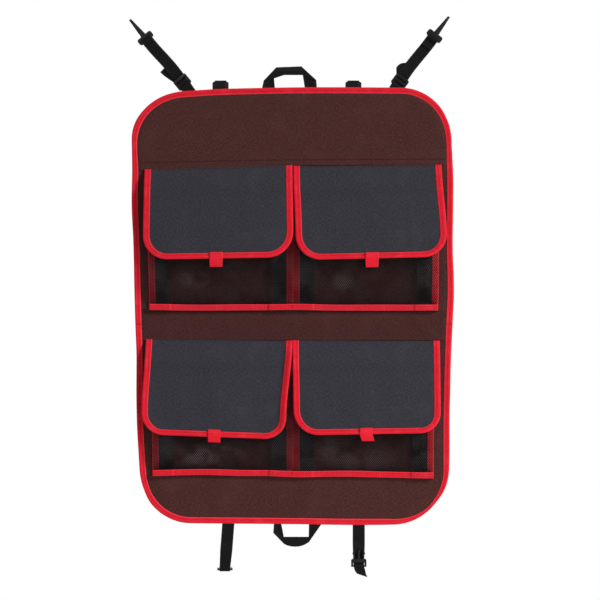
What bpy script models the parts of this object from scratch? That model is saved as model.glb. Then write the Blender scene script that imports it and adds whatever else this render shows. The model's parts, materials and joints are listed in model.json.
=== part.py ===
"""A hanging tent organizer: a stiffened fabric panel with four flap-covered mesh pockets.

The panel hangs upright. X runs across it, Z up it, and its front faces -Y. The origin is the
middle of the panel on its back face. All sizes are in metres.
"""

import math

import bmesh
import bpy
import numpy
from mathutils import Vector

GAP = 0.0003  # clearance between pieces that touch

# Panel
PANEL_WIDTH = 0.600
PANEL_HEIGHT = 0.820
BOTTOM_WIDTH = 0.583  # the lower half hangs a little drawn in
CORNER_RADIUS = 0.090
PANEL_THICKNESS = 0.0036
BINDING_WIDTH = 0.011
BINDING_THICKNESS = 0.001
CREASE = 0.003  # unpadded strip beside each fold line

# Fabric bands on the front, by height above the panel's middle
BAND_THICKNESS = 0.0009
HEADER_HEIGHT = 0.154  # from the panel's top edge
UPPER_FOLD = -0.0105
LOWER_FOLD = -0.0625
BAND_EDGE = -0.0663

# Rows of pockets
UPPER_HEM_DROP = 0.0009  # from the upper fold up to the lower edge of the upper hem
LOWER_HEM_RISE = 0.0854  # from the panel's bottom edge up to the lower edge of the lower hem
HEM_HEIGHT = 0.0124
HEM_THICKNESS = 0.0009
ROW_MARGIN = 0.027  # from the panel's side in to a row's end
POCKET_INSET = 0.002  # from a row's end in to the outer pocket's edge
POCKET_MIDDLE = 0.002  # distance of a pocket's inner edge from the middle
POCKET_TOP_DROP = 0.030  # from the edge of the fabric band down to the mouth
MESH_THICKNESS = 0.0008
PLEAT_DEPTH = 0.040
SEAM_DEPTH = 0.0055  # the stack of pleats at the bottom seam
BELLY_DEPTH = 0.015
MOUTH_DEPTH = 0.010
MESH_CROWN = 0.0015
TAPE_WIDTH = 0.0125
TAPE_THICKNESS = 0.0007
TAPE_SHORT = 0.004  # the tapes end this far below the band, clear of the flaps' roots

# Flaps
FLAP_MARGIN = 0.020  # from the panel's side in to a flap's edge
FLAP_MIDDLE = 0.001  # half of the gap between two flaps
UPPER_FLAP_DROP = 0.1695
LOWER_FLAP_DROP = 0.1765
FLAP_THICKNESS = 0.0014
FLAP_CORNER = 0.045
FLAP_BINDING_WIDTH = 0.0105
FLAP_BINDING_THICKNESS = 0.0009
FLAP_BINDING_START = 0.006
FLAP_CROWN = 0.0025  # how far a flap bows out along its middle
FLAP_LAP = 0.001  # how far a flap's root laps over the edge of the band
LOWER_LEFT_SKEW = math.radians(2.4)
UPPER_RIGHT_SKEW = math.radians(-2.2)
STRIP_WIDTH = 0.060
STRIP_HEIGHT = 0.020
STRIP_THICKNESS = 0.0014
STRIP_BELOW_MOUTH = 0.004
TAB_WIDTH = 0.0255
TAB_THICKNESS = 0.0018
TAB_ABOVE = 0.016
TAB_BELOW = 0.0135

# Webbing and plastic fittings
WEBBING_WIDTH = 0.020
WEBBING_THICKNESS = 0.0014
SIDE_PLAY = 0.00075  # between the webbing's edge and a fitting's side bar
BAR = 0.003  # thickness of the bars that webbing goes round
LOOP_CLEARANCE = 0.0010  # from a bar's flat to the webbing round it
FITTING_SIDE = 0.0037

HANGER_LEFT_INSET = 0.101  # from the panel's side in to the hanging strap's middle
HANGER_RIGHT_INSET = 0.1075
HANGER_LEFT_SPLAY = math.radians(-40)
HANGER_RIGHT_SPLAY = math.radians(37)
ANCHOR_SEWN = 0.0095
ANCHOR_LENGTH = 0.006  # from the panel's edge to the lock's lower bar
LOCK_BAR_SPACING = 0.0088
LOCK_TOP_BAR = 0.0165
TONGUE_LENGTH = 0.004
TONGUE_RISE = 0.0035
STRAP_LENGTH = 0.104
TAIL_LENGTH = 0.040
TAIL_SHIFT = 0.007  # both loose tails hang out to the left of their straps
SEWN_START = 0.0065
SEWN_END = 0.022
HOOK_WIDTH = 0.032
HOOK_SLOT = 0.005
HOOK_BAND = 0.005
HOOK_REACH = 0.0405
HOOK_RADIUS = 0.008
HOOK_RETURN = 0.020
HOOK_THICKNESS = 0.004
HOOK_ROOT_WIDTH = 0.011
HOOK_TIP_WIDTH = 0.0045

CATCH_LEFT_INSET = 0.163  # from the panel's side in to the buckle's middle
CATCH_RIGHT_INSET = 0.186
CATCH_HEIGHT = 0.0115  # bar of the buckle above the panel's edge
CATCH_LENGTH = 0.030
CATCH_THICKNESS = 0.009
CATCH_STANDOFF = 0.0115  # from the edge's middle plane back to the bar
MOUTH_WIDTH = 0.0255
MOUTH_THICKNESS = 0.0052
MOUTH_LENGTH = 0.019

LEFT_STRAP_INSET = 0.179  # from the panel's side in to the bottom strap's middle
RIGHT_STRAP_INSET = 0.176
LEFT_STRAP_LENGTH = 0.087
RIGHT_STRAP_LENGTH = 0.080
STRAP_LEAN = math.radians(5)
RIGHT_TAIL = 0.021
PLUG_THICKNESS = 0.0044
PLUG_SLOT = 0.005
PLUG_BASE = 0.007
PRONG_LENGTH = 0.017
PRONG_WIDTH = 0.003
BARB = 0.0016

HANDLE_THICKNESS = 0.0024
TOP_HANDLE_X = -0.0066
TOP_HANDLE_WIDTH = 0.104
TOP_HANDLE_HEIGHT = 0.040
TOP_HANDLE_LEG = 0.021
TOP_HANDLE_BRIDGE = 0.0145
BOTTOM_HANDLE_X = 0.0079
BOTTOM_HANDLE_WIDTH = 0.090
BOTTOM_HANDLE_HEIGHT = 0.0435
BOTTOM_HANDLE_LEG = 0.019
BOTTOM_HANDLE_BRIDGE = 0.017
HANDLE_CHAMFER = 0.024
HANDLE_INNER_CHAMFER = 0.006

CORNER_STEPS = 8
FLAP_COLUMNS = (-1, -0.75, -0.5, -0.25, 0.25, 0.5, 0.75, 1)  # places across a flap, in half widths
LOOP_STEPS = 12
ROOT_STEPS = 3

# Places worked out from the sizes above
HALF_WIDTH = PANEL_WIDTH / 2
HALF_HEIGHT = PANEL_HEIGHT / 2
HEADER_EDGE = HALF_HEIGHT - HEADER_HEIGHT
UPPER_HEM_LOW = UPPER_FOLD + UPPER_HEM_DROP
LOWER_HEM_LOW = LOWER_HEM_RISE - HALF_HEIGHT
ROW_HALF_WIDTH = HALF_WIDTH - ROW_MARGIN
POCKET_SIDE = ROW_HALF_WIDTH - POCKET_INSET
FLAP_WIDTH = HALF_WIDTH - FLAP_MARGIN - FLAP_MIDDLE
HANGER_LEFT_X = HANGER_LEFT_INSET - HALF_WIDTH
HANGER_RIGHT_X = HALF_WIDTH - HANGER_RIGHT_INSET
CATCH_LEFT_X = CATCH_LEFT_INSET - HALF_WIDTH
CATCH_RIGHT_X = HALF_WIDTH - CATCH_RIGHT_INSET
STRAP_LEFT_X = LEFT_STRAP_INSET - HALF_WIDTH
STRAP_RIGHT_X = HALF_WIDTH - RIGHT_STRAP_INSET
FRONT = -PANEL_THICKNESS
EDGE_MIDDLE = FRONT / 2
FOLD_PLANE = FRONT - GAP - BAND_THICKNESS
WEBBING_ROOT = WEBBING_THICKNESS / 2 + GAP
LOOP_RADIUS = BAR / 2 + LOOP_CLEARANCE + WEBBING_THICKNESS / 2
LAYER = WEBBING_THICKNESS + GAP  # spacing of two plies of webbing
SLOT_HALF = WEBBING_WIDTH / 2 + SIDE_PLAY
FITTING_HALF = SLOT_HALF + FITTING_SIDE


def make_material(name, color, roughness):
    """A Principled material with one colour and roughness."""
    material = bpy.data.materials.new(name)
    material.use_nodes = True
    shader = material.node_tree.nodes["Principled BSDF"]
    shader.inputs["Base Color"].default_value = (*color, 1.0)
    shader.inputs["Roughness"].default_value = roughness
    shader.inputs["Metallic"].default_value = 0.0
    material.diffuse_color = (*color, 1.0)
    return material


def add_mesh(name, mesh_data, material, pivot=(0, 0, 0), turn=0.0):
    """A named object whose origin is its pivot, turned about Y."""
    vertices, faces = mesh_data
    mesh = bpy.data.meshes.new(name)
    mesh.from_pydata([tuple(v) for v in vertices], [], faces)
    bm = bmesh.new()
    bm.from_mesh(mesh)
    bmesh.ops.recalc_face_normals(bm, faces=bm.faces)
    bm.to_mesh(mesh)
    bm.free()
    mesh.materials.append(material)
    obj = bpy.data.objects.new(name, mesh)
    obj.location = pivot
    obj.rotation_euler = (0.0, turn, 0.0)
    bpy.context.scene.collection.objects.link(obj)
    return obj


def add_boolean(obj, tool, operation):
    """Cut a tool object from obj, or join it on, and keep the tool as a guide."""
    tool.hide_render = True
    tool.display_type = "WIRE"
    modifier = obj.modifiers.new(tool.name, "BOOLEAN")
    modifier.operation = operation
    modifier.object = tool


def loft(rings):
    """Skin closed rings of equal length and close both ends."""
    count = len(rings[0])
    vertices = [p for ring in rings for p in ring]
    faces = [tuple(reversed(range(count)))]
    for k in range(len(rings) - 1):
        for i in range(count):
            j = (i + 1) % count
            faces.append((k * count + i, k * count + j, (k + 1) * count + j, (k + 1) * count + i))
    faces.append(tuple(range((len(rings) - 1) * count, len(rings) * count)))
    return vertices, faces


def moved(mesh_data, offset):
    """The same mesh with every vertex moved by minus the offset, so offset becomes its origin."""
    vertices, faces = mesh_data
    return [Vector(v) - Vector(offset) for v in vertices], faces


def box(low, high):
    """A box between two corners."""
    ring = [(low[0], low[1]), (high[0], low[1]), (high[0], high[1]), (low[0], high[1])]
    return loft([[(x, y, z) for x, y in ring] for z in (low[2], high[2])])


def slab(outline, back, front):
    """A flat piece with an outline in X and Z, between two depths in Y."""
    return loft([[(x, y, z) for x, z in outline] for y in (back, front)])


def arc(center, radius, start, end, steps):
    """Points along an arc, with angles in degrees."""
    angles = [math.radians(start + (end - start) * i / steps) for i in range(steps + 1)]
    return [(center[0] + radius * math.cos(a), center[1] + radius * math.sin(a)) for a in angles]


def offset_line(points, distance):
    """Points beside an open line, mitred at its corners."""
    normals = []
    for (ax, ay), (bx, by) in zip(points, points[1:]):
        length = math.hypot(bx - ax, by - ay)
        normals.append(Vector((-(by - ay) / length, (bx - ax) / length)))
    result = []
    for i, point in enumerate(points):
        before = normals[max(i - 1, 0)]
        after = normals[min(i, len(normals) - 1)]
        middle = (before + after).normalized()
        reach = distance / max(middle.dot(after), 0.6)
        result.append((point[0] + middle.x * reach, point[1] + middle.y * reach))
    return result


def round_root(thickness, steps=3):
    """Distances before a hinge line, and half thicknesses there, that round a root off about it."""
    radius = thickness / 2
    angles = [math.radians(90 * i / (steps + 0.5)) for i in range(steps, 0, -1)]
    return [(radius * math.sin(a), radius * math.cos(a)) for a in angles]


def ribbon(path, width, thickness=WEBBING_THICKNESS, shifts=None, slant=0.0, rounded=False):
    """Flat webbing along a path in Y and Z, shifted sideways at each point.

    A slant cuts its start at an angle, and a rounded start can turn about the path's first point.
    """
    shifts = shifts or [0.0] * len(path)
    upper = offset_line(path, thickness / 2)
    lower = offset_line(path, -thickness / 2)
    if rounded:
        start = Vector(path[0])
        back = (start - Vector(path[1])).normalized()
        side = (Vector(upper[0]) - start).normalized()
        ends = round_root(thickness)
        upper = [start + back * reach + side * half for reach, half in ends] + upper
        lower = [start + back * reach - side * half for reach, half in ends] + lower
        shifts = [shifts[0]] * len(ends) + shifts
    rings = []
    for (uy, uz), (ly, lz), shift in zip(upper, lower, shifts):
        left, right = shift - width / 2, shift + width / 2
        rings.append([(left, uy, uz), (right, uy, uz), (right, ly, lz), (left, ly, lz)])
    rings[0] = [(x, y, z + x * math.tan(slant)) for x, y, z in rings[0]]
    return loft(rings)


def upright_outline(inset, cut, lower=False):
    """The panel's rounded outline above the height cut, or below it for the lower half."""
    half, top, radius = HALF_WIDTH - inset, HALF_HEIGHT - inset, CORNER_RADIUS - inset
    left = arc((-half + radius, top - radius), radius, 180, 90, CORNER_STEPS)
    right = arc((half - radius, top - radius), radius, 90, 0, CORNER_STEPS)
    sign = -1 if lower else 1
    return [(-half, cut)] + [(x, sign * z) for x, z in left + right] + [(half, cut)]


def drawn_in(mesh_data):
    """Narrow a piece of the lower half towards the panel's bottom edge."""
    vertices, faces = mesh_data
    loss = 1 - BOTTOM_WIDTH / PANEL_WIDTH
    span = HALF_HEIGHT + LOWER_FOLD
    result = []
    for x, y, z in vertices:
        share = max(0.0, LOWER_FOLD - z) / span
        result.append((x * (1 - loss * share), y, z))
    return result, faces


def padded_sheet(core, pad):
    """A padded sheet with a thin rim where the binding folds round it."""
    rim = BINDING_THICKNESS + GAP
    levels = [(pad, 0.0), (pad, -rim), (core, -rim), (core, FRONT + rim), (pad, FRONT + rim), (pad, FRONT)]
    return loft([[(x, y, z) for x, z in outline] for outline, y in levels])


def folded_binding(path_at):
    """Binding tape folded round an edge; path_at gives the edge's path at an inset."""
    inner, outer, wide = BINDING_THICKNESS, 0.0, BINDING_WIDTH
    section = [(outer, 0.0), (wide, 0.0), (wide, -inner), (inner, -inner)]
    section += [(inner, FRONT + inner), (wide, FRONT + inner), (wide, FRONT), (outer, FRONT)]
    paths = [path_at(inset) for inset, _ in section]
    rings = []
    for i in range(len(paths[0])):
        rings.append([(path[i][0], y, path[i][1]) for path, (_, y) in zip(paths, section)])
    return loft(rings)


def add_panels(brown, red):
    """The three parts of the panel between the fold lines, their bindings and fabric bands."""
    rim = BINDING_THICKNESS + GAP
    inside = BINDING_WIDTH + GAP
    fold_low = (0, FOLD_PLANE, LOWER_FOLD)
    fold_high = (0, FOLD_PLANE, UPPER_FOLD)
    above, below = UPPER_FOLD + GAP / 2, LOWER_FOLD - GAP / 2

    upper = padded_sheet(upright_outline(rim, above), upright_outline(inside, above + CREASE))
    add_mesh("back_panel_upper", upper, brown)
    add_mesh("edge_binding_upper", folded_binding(lambda d: upright_outline(d, above)), red)
    header = upright_outline(inside, HEADER_EDGE)
    add_mesh("header_panel", slab(header, FRONT - GAP, FOLD_PLANE), brown)

    def rectangle(inset, crease):
        half, low, high = HALF_WIDTH - inset, LOWER_FOLD + GAP / 2 + crease, UPPER_FOLD - GAP / 2 - crease
        return [(-half, low), (-half, high), (half, high), (half, low)]

    spine = padded_sheet(rectangle(rim, 0), rectangle(inside, CREASE))
    add_mesh("back_panel_spine", moved(spine, fold_high), brown, fold_high)
    for name, side in (("left", -1), ("right", 1)):
        def side_path(inset, side=side):
            x = side * (HALF_WIDTH - inset)
            return [(x, LOWER_FOLD + GAP / 2), (x, UPPER_FOLD - GAP / 2)]

        strip = moved(folded_binding(side_path), fold_high)
        add_mesh("edge_binding_spine_" + name, strip, red, fold_high)
    band = slab(rectangle(inside, 0), FRONT - GAP, FOLD_PLANE)
    add_mesh("middle_band", moved(band, fold_high), brown, fold_high)

    low_core = upright_outline(rim, below, lower=True)
    low_pad = upright_outline(inside, below - CREASE, lower=True)
    lower = drawn_in(padded_sheet(low_core, low_pad))
    add_mesh("back_panel_lower", moved(lower, fold_low), brown, fold_low)
    low_binding = drawn_in(folded_binding(lambda d: upright_outline(d, below, lower=True)))
    add_mesh("edge_binding_lower", moved(low_binding, fold_low), red, fold_low)
    half = HALF_WIDTH - inside
    edge = [(-half, below), (half, below), (half, BAND_EDGE), (-half, BAND_EDGE)]
    hem = drawn_in(slab(edge, FRONT - GAP, FOLD_PLANE))
    add_mesh("middle_band_hem", moved(hem, fold_low), brown, fold_low)


def pocket_profile(height):
    """Heights above a pocket's bottom seam with the depth of its front there."""
    straight = POCKET_TOP_DROP
    rise = 1.1 * PLEAT_DEPTH
    return [
        (0.0, SEAM_DEPTH),
        (HEM_HEIGHT, SEAM_DEPTH),
        (HEM_HEIGHT + 0.4 * rise, SEAM_DEPTH + 0.6 * (BELLY_DEPTH - SEAM_DEPTH)),
        (HEM_HEIGHT + rise, BELLY_DEPTH),
        (0.6 * height, BELLY_DEPTH),
        (height - 1.8 * straight, 0.85 * BELLY_DEPTH),
        (height - straight, MOUTH_DEPTH),
        (height, MOUTH_DEPTH),
    ]


def pocket_section(depth, left, right):
    """A pocket's cut across, from sewn flange through the bellows pleat to the front and back."""
    flange = GAP + MESH_THICKNESS / 2
    fold = 0.0015
    half_line = [
        (0.0, flange),
        (TAPE_WIDTH - 0.001, flange),
        (PLEAT_DEPTH - fold, 0.4 * depth),
        (PLEAT_DEPTH, 0.5 * depth),
        (PLEAT_DEPTH - fold, 0.6 * depth),
        (fold, depth - 0.0004),
        (2 * fold, depth),
        (PLEAT_DEPTH, depth + 0.6 * MESH_CROWN),
    ]
    middle = [((left + right) / 2, depth + MESH_CROWN)]
    line = [(left + x, d) for x, d in half_line] + middle
    line += [(right - x, d) for x, d in reversed(half_line)]
    outer = offset_line(line, MESH_THICKNESS / 2)
    inner = offset_line(line, -MESH_THICKNESS / 2)
    return [(x, FRONT - d) for x, d in outer + inner[::-1]]


def add_pocket_row(row, hem_low, band_edge, red, mesh_black, soft_black):
    """Two mesh pockets side by side, with their red tapes, hem and closure strips."""
    lower = row == "lower"
    pivot = (0, FOLD_PLANE, LOWER_FOLD) if lower else (0, 0, 0)

    def add(name, mesh_data, material):
        shaped = drawn_in(mesh_data) if lower else mesh_data
        add_mesh(name, moved(shaped, pivot), material, pivot)

    bottom = hem_low + HEM_THICKNESS + GAP
    top = band_edge - POCKET_TOP_DROP
    height = top - bottom
    strip_top = top - STRIP_BELOW_MOUTH
    strip_back = FRONT - MOUTH_DEPTH - MESH_CROWN - MESH_THICKNESS / 2 - GAP
    for name, side in (("left", -1), ("right", 1)):
        left, right = sorted((side * POCKET_SIDE, side * POCKET_MIDDLE))
        rings = []
        for above, depth in pocket_profile(height):
            section = pocket_section(depth, left, right)
            rings.append([(x, y, bottom + above) for x, y in section])
        add("mesh_pocket_" + row + "_" + name, loft(rings), mesh_black)
        middle = (left + right) / 2
        low_corner = (middle - STRIP_WIDTH / 2, strip_back - STRIP_THICKNESS, strip_top - STRIP_HEIGHT)
        strip = box(low_corner, (middle + STRIP_WIDTH / 2, strip_back, strip_top))
        add("loop_strip_" + row + "_" + name, strip, soft_black)

    tape_back = FRONT - 2 * GAP - MESH_THICKNESS
    tape_top = band_edge - TAPE_SHORT
    tapes = {
        "left": (-ROW_HALF_WIDTH, -ROW_HALF_WIDTH + TAPE_WIDTH),
        "middle": (-TAPE_WIDTH, TAPE_WIDTH),
        "right": (ROW_HALF_WIDTH - TAPE_WIDTH, ROW_HALF_WIDTH),
    }
    for name, (low_x, high_x) in tapes.items():
        tape = box((low_x, tape_back - TAPE_THICKNESS, bottom), (high_x, tape_back, tape_top))
        add("side_tape_" + row + "_" + name, tape, red)

    cover = FRONT - SEAM_DEPTH - MESH_CROWN - MESH_THICKNESS / 2 - GAP
    front = cover - HEM_THICKNESS
    section = [(FRONT - GAP, hem_low), (front, hem_low), (front, hem_low + HEM_HEIGHT)]
    section += [(cover, hem_low + HEM_HEIGHT), (cover, hem_low + HEM_THICKNESS)]
    section += [(FRONT - GAP, hem_low + HEM_THICKNESS)]
    hem = loft([[(x, y, z) for y, z in section] for x in (-ROW_HALF_WIDTH, ROW_HALF_WIDTH)])
    add("pocket_hem_" + row, hem, red)


def crown_at(u):
    """How far a flap bows out at a distance u from its middle, in straight steps."""
    places = [FLAP_WIDTH / 2 * column for column in FLAP_COLUMNS]
    heights = [FLAP_CROWN * (1 - column**2) for column in FLAP_COLUMNS]
    return float(numpy.interp(u, places, heights))


def fall_line(drop):
    """How a closed flap hangs: a map from its flat cut to its place beside the hinge line.

    The flat cut has u across, s down from the hinge line and n out of its middle surface.
    """
    root_depth = FRONT - FOLD_PLANE + GAP + FLAP_THICKNESS / 2
    mouth_front = MOUTH_DEPTH + MESH_CROWN + MESH_THICKNESS / 2
    strips = mouth_front + 3 * GAP + 2 * STRIP_THICKNESS + FLAP_THICKNESS / 2
    binding = FLAP_THICKNESS / 2 + GAP + FLAP_BINDING_THICKNESS
    clear = BELLY_DEPTH + MESH_CROWN + MESH_THICKNESS / 2 + binding + GAP
    lap = FLAP_LAP
    strip_end = POCKET_TOP_DROP + STRIP_BELOW_MOUTH + STRIP_HEIGHT + lap
    places = [
        (0.0, 0.0),
        (0.5 * POCKET_TOP_DROP, 0.55 * (strips - root_depth)),
        (POCKET_TOP_DROP + lap, strips - root_depth),
        (strip_end, strips - root_depth),
        (1.7 * strip_end, clear - root_depth),
        (drop, clear - root_depth + 0.001),
        (drop + 2 * TAB_BELOW, clear - root_depth + 0.0015),
    ]
    line = [(-depth, -fall) for fall, depth in places]
    lengths = [0.0]
    for (ay, az), (by, bz) in zip(line, line[1:]):
        lengths.append(lengths[-1] + math.hypot(by - ay, bz - az))

    def place(u, s, n):
        k = max(i for i in range(len(line) - 1) if i == 0 or lengths[i] <= s)
        share = (s - lengths[k]) / (lengths[k + 1] - lengths[k])
        beside = offset_line(line, -n - crown_at(u) * min(1.0, s / lengths[2]))
        ay, az = beside[k]
        by, bz = beside[k + 1]
        return (u, ay + (by - ay) * share, az + (bz - az) * share)

    return place, lengths


def flap_path(inset, rows, length):
    """The flap's bound edge, down one side, round the bottom and up the other, at an inset."""
    half, radius = FLAP_WIDTH / 2, FLAP_CORNER
    side = [s for s in rows if FLAP_BINDING_START < s < length - radius]
    down = [(-half + inset, s) for s in [FLAP_BINDING_START] + side]
    corner = arc((-half + radius, length - radius), radius - inset, 180, 90, CORNER_STEPS)
    bottom = [(half * column, length - inset) for column in FLAP_COLUMNS[2:4]]
    left = down + corner + bottom
    return left + [(-u, s) for u, s in reversed(left)]


def add_flap(row, name, side, root, drop, fabric, red, soft_black, skew=0.0):
    """One flap with its binding, pull tab and hook strip, hung on its hinge line."""
    place, rows = fall_line(drop)
    length = rows[5]
    half = FLAP_WIDTH / 2
    root_depth = GAP + FLAP_THICKNESS / 2
    pivot = (side * (FLAP_MIDDLE + half), FOLD_PLANE - root_depth, root)
    label = row + "_" + name

    def hang(mesh_data):
        vertices, faces = mesh_data
        result = []
        for u, n, s in vertices:
            x, y, z = place(u, s, n)
            share = max(s, 0.0) / length
            result.append((x - s * math.sin(skew), y, z - x * math.sin(skew) * share))
        return result, faces

    rim = FLAP_BINDING_THICKNESS + GAP
    arc_rows = [s for _, s in arc((0, length - FLAP_CORNER), FLAP_CORNER - rim, 180, 90, CORNER_STEPS)]
    body_rows = [(-reach, thick) for reach, thick in round_root(FLAP_THICKNESS)]
    straight = [s for s in rows if s < length - FLAP_CORNER]
    body_rows += [(s, FLAP_THICKNESS / 2) for s in straight + arc_rows]
    rings = []
    for s, thick in body_rows:
        into = max(0.0, s - (length - FLAP_CORNER))
        radius = FLAP_CORNER - rim
        wide = half - FLAP_CORNER + math.sqrt(max(radius**2 - into**2, 0.0))
        across = [wide * column for column in FLAP_COLUMNS]
        rings.append([(u, -thick, s) for u in across] + [(u, thick, s) for u in reversed(across)])
    add_mesh("flap_" + label, hang(loft(rings)), fabric, pivot)

    inner = FLAP_THICKNESS / 2 + GAP
    outer = inner + FLAP_BINDING_THICKNESS
    web, wide = FLAP_BINDING_THICKNESS, FLAP_BINDING_WIDTH
    section = [(0, -outer), (wide, -outer), (wide, -inner), (web, -inner)]
    section += [(web, inner), (wide, inner), (wide, outer), (0, outer)]
    paths = [flap_path(inset, rows, length) for inset, _ in section]
    rings = []
    for i in range(len(paths[0])):
        rings.append([(path[i][0], n, path[i][1]) for path, (_, n) in zip(paths, section)])
    add_mesh("flap_binding_" + label, hang(loft(rings)), red, pivot)

    low, high = outer + GAP, outer + GAP + TAB_THICKNESS
    tab_half = TAB_WIDTH / 2
    tab_rows = [length - TAB_ABOVE, length, length + 0.7 * TAB_BELOW, length + TAB_BELOW]
    rings = []
    for s in tab_rows:
        tuck = 0.12 * tab_half if s == tab_rows[-1] else 0.0
        wide = tab_half - tuck
        rings.append([(-wide, low, s), (wide, low, s), (wide, high, s), (-wide, high, s)])
    add_mesh("pull_tab_" + label, hang(loft(rings)), red, pivot)

    start = rows[2] + STRIP_BELOW_MOUTH
    strip = box(
        (-STRIP_WIDTH / 2, -inner - STRIP_THICKNESS, start),
        (STRIP_WIDTH / 2, -inner, start + STRIP_HEIGHT),
    )
    add_mesh("hook_strip_" + label, hang(strip), soft_black, pivot)


def loop_round(center, start, end, radius=LOOP_RADIUS):
    """Points of webbing round a bar, from one angle to the other."""
    return arc(center, radius, start, end, LOOP_STEPS)


def frame_plate(name, outline, thickness, material, pivot, turn=0.0):
    """A flat plastic plate in X and Z about its pivot."""
    return add_mesh(name, slab(outline, thickness / 2, -thickness / 2), material, pivot, turn)


def cut_box(obj, name, low, high, operation="DIFFERENCE"):
    """Cut a box from a fitting, or join it on; the box is in the fitting's own frame."""
    tool = add_mesh(name, box(low, high), obj.data.materials[0], obj.location, obj.rotation_euler.y)
    add_boolean(obj, tool, operation)


def chamfered(low_x, low_z, high_x, high_z, cut):
    """A rectangle with its corners cut off."""
    return [
        (low_x + cut, low_z), (high_x - cut, low_z), (high_x, low_z + cut), (high_x, high_z - cut),
        (high_x - cut, high_z), (low_x + cut, high_z), (low_x, high_z - cut), (low_x, low_z + cut),
    ]


def add_lock(name, pivot, turn, plastic):
    """A ladder lock: a frame of three bars with a tongue lifted at its outer bar."""
    low, high = -BAR / 2, LOCK_TOP_BAR + TONGUE_LENGTH
    outline = chamfered(-FITTING_HALF, low, FITTING_HALF, high, 0.002)
    lock = frame_plate(name, outline, BAR, plastic, pivot, turn)
    for k, (start, end) in enumerate(((0.0, LOCK_BAR_SPACING), (LOCK_BAR_SPACING, LOCK_TOP_BAR))):
        slot_low = (-SLOT_HALF, -BAR, start + BAR / 2)
        slot_high = (SLOT_HALF, BAR, end - BAR / 2)
        cut_box(lock, name + "_slot_" + str(k + 1), slot_low, slot_high)
    foot, tip = LOCK_TOP_BAR - BAR / 4, high - 0.0006
    wedge_line = [(0.0, foot), (-BAR / 2 - 0.0008, foot), (-BAR / 2 - TONGUE_RISE, tip), (0.0, tip)]
    rings = []
    for x, narrow in ((-SLOT_HALF, 0.0), (SLOT_HALF, 0.0)):
        rings.append([(x + narrow, y, z) for y, z in wedge_line])
    tongue = add_mesh(name + "_tongue", loft(rings), plastic, pivot, turn)
    add_boolean(lock, tongue, "UNION")


def add_hook(name, pivot, turn, plastic):
    """A J hook that curls back behind a slotted cross bar."""
    top = BAR / 2 + HOOK_SLOT + HOOK_BAND
    outline = chamfered(-HOOK_WIDTH / 2, -BAR / 2, HOOK_WIDTH / 2, top, 0.0025)
    hook = frame_plate(name, outline, BAR, plastic, pivot, turn)
    cut_box(hook, name + "_slot", (-SLOT_HALF, -BAR, BAR / 2), (SLOT_HALF, BAR, BAR / 2 + HOOK_SLOT))
    crown = top + HOOK_REACH - HOOK_RADIUS - HOOK_THICKNESS / 2
    path = [(0.0, top - HOOK_BAND / 2), (0.0, (top + crown) / 2)]
    path += arc((HOOK_RADIUS, crown), HOOK_RADIUS, 180, 0, LOOP_STEPS)
    path += [(2 * HOOK_RADIUS, crown - 0.6 * HOOK_RETURN), (2.25 * HOOK_RADIUS, crown - HOOK_RETURN)]
    front = offset_line(path, HOOK_THICKNESS / 2)
    back = offset_line(path, -HOOK_THICKNESS / 2)
    taper = crown + HOOK_RADIUS - path[0][1]  # the arm narrows up to its crown
    rings = []
    for (y, z), (fy, fz), (by, bz) in zip(path, front, back):
        share = 1.0 if y >= HOOK_RADIUS else (z - path[0][1]) / taper
        half = (HOOK_ROOT_WIDTH + (HOOK_TIP_WIDTH - HOOK_ROOT_WIDTH) * share) / 2
        rings.append([(-half, fy, fz), (half, fy, fz), (half, by, bz), (-half, by, bz)])
    curl = add_mesh(name + "_curl", loft(rings), plastic, pivot, turn)
    add_boolean(hook, curl, "UNION")


def add_hanger(name, x, turn, webbing, plastic):
    """One hanging strap: sewn anchor, ladder lock, strap and hook, splayed outwards."""
    bar_back = GAP + WEBBING_THICKNESS / 2 + LOOP_RADIUS
    base = Vector((x, 0.0, HALF_HEIGHT))
    along = Vector((math.sin(turn), 0.0, math.cos(turn)))

    anchor = [(bar_back - LOOP_RADIUS, -ANCHOR_SEWN / math.cos(turn))]
    anchor += loop_round((bar_back, ANCHOR_LENGTH), 180, -105)
    add_mesh("hanger_anchor_" + name, ribbon(anchor, WEBBING_WIDTH, slant=turn), webbing, base, turn)

    lock_pivot = base + along * ANCHOR_LENGTH + Vector((0, bar_back, 0))
    add_lock("ladder_lock_" + name, lock_pivot, turn, plastic)

    behind = BAR / 2 + GAP + WEBBING_THICKNESS / 2
    tail = behind + LAYER
    outer_bar = LOCK_TOP_BAR - LOCK_BAR_SPACING - BAR / 2
    path = [(tail, TAIL_LENGTH), (tail, outer_bar - BAR / 2)]
    path += loop_round((0, 0), -10, -285)
    path += [(behind, outer_bar)]
    hook_back = behind - LOOP_RADIUS
    path += loop_round((hook_back, STRAP_LENGTH), 0, 285)
    path += [(behind - LAYER, STRAP_LENGTH - SEWN_START), (behind - LAYER, STRAP_LENGTH - SEWN_END)]
    shifts = [-TAIL_SHIFT] + [0.0] * (len(path) - 1)
    strap = ribbon(path, WEBBING_WIDTH, shifts=shifts)
    strap_pivot = lock_pivot + along * LOCK_BAR_SPACING
    add_mesh("hook_strap_" + name, strap, webbing, strap_pivot, turn)

    hook_pivot = strap_pivot + along * STRAP_LENGTH + Vector((0, hook_back, 0))
    add_hook("hanger_hook_" + name, hook_pivot, turn, plastic)


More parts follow.
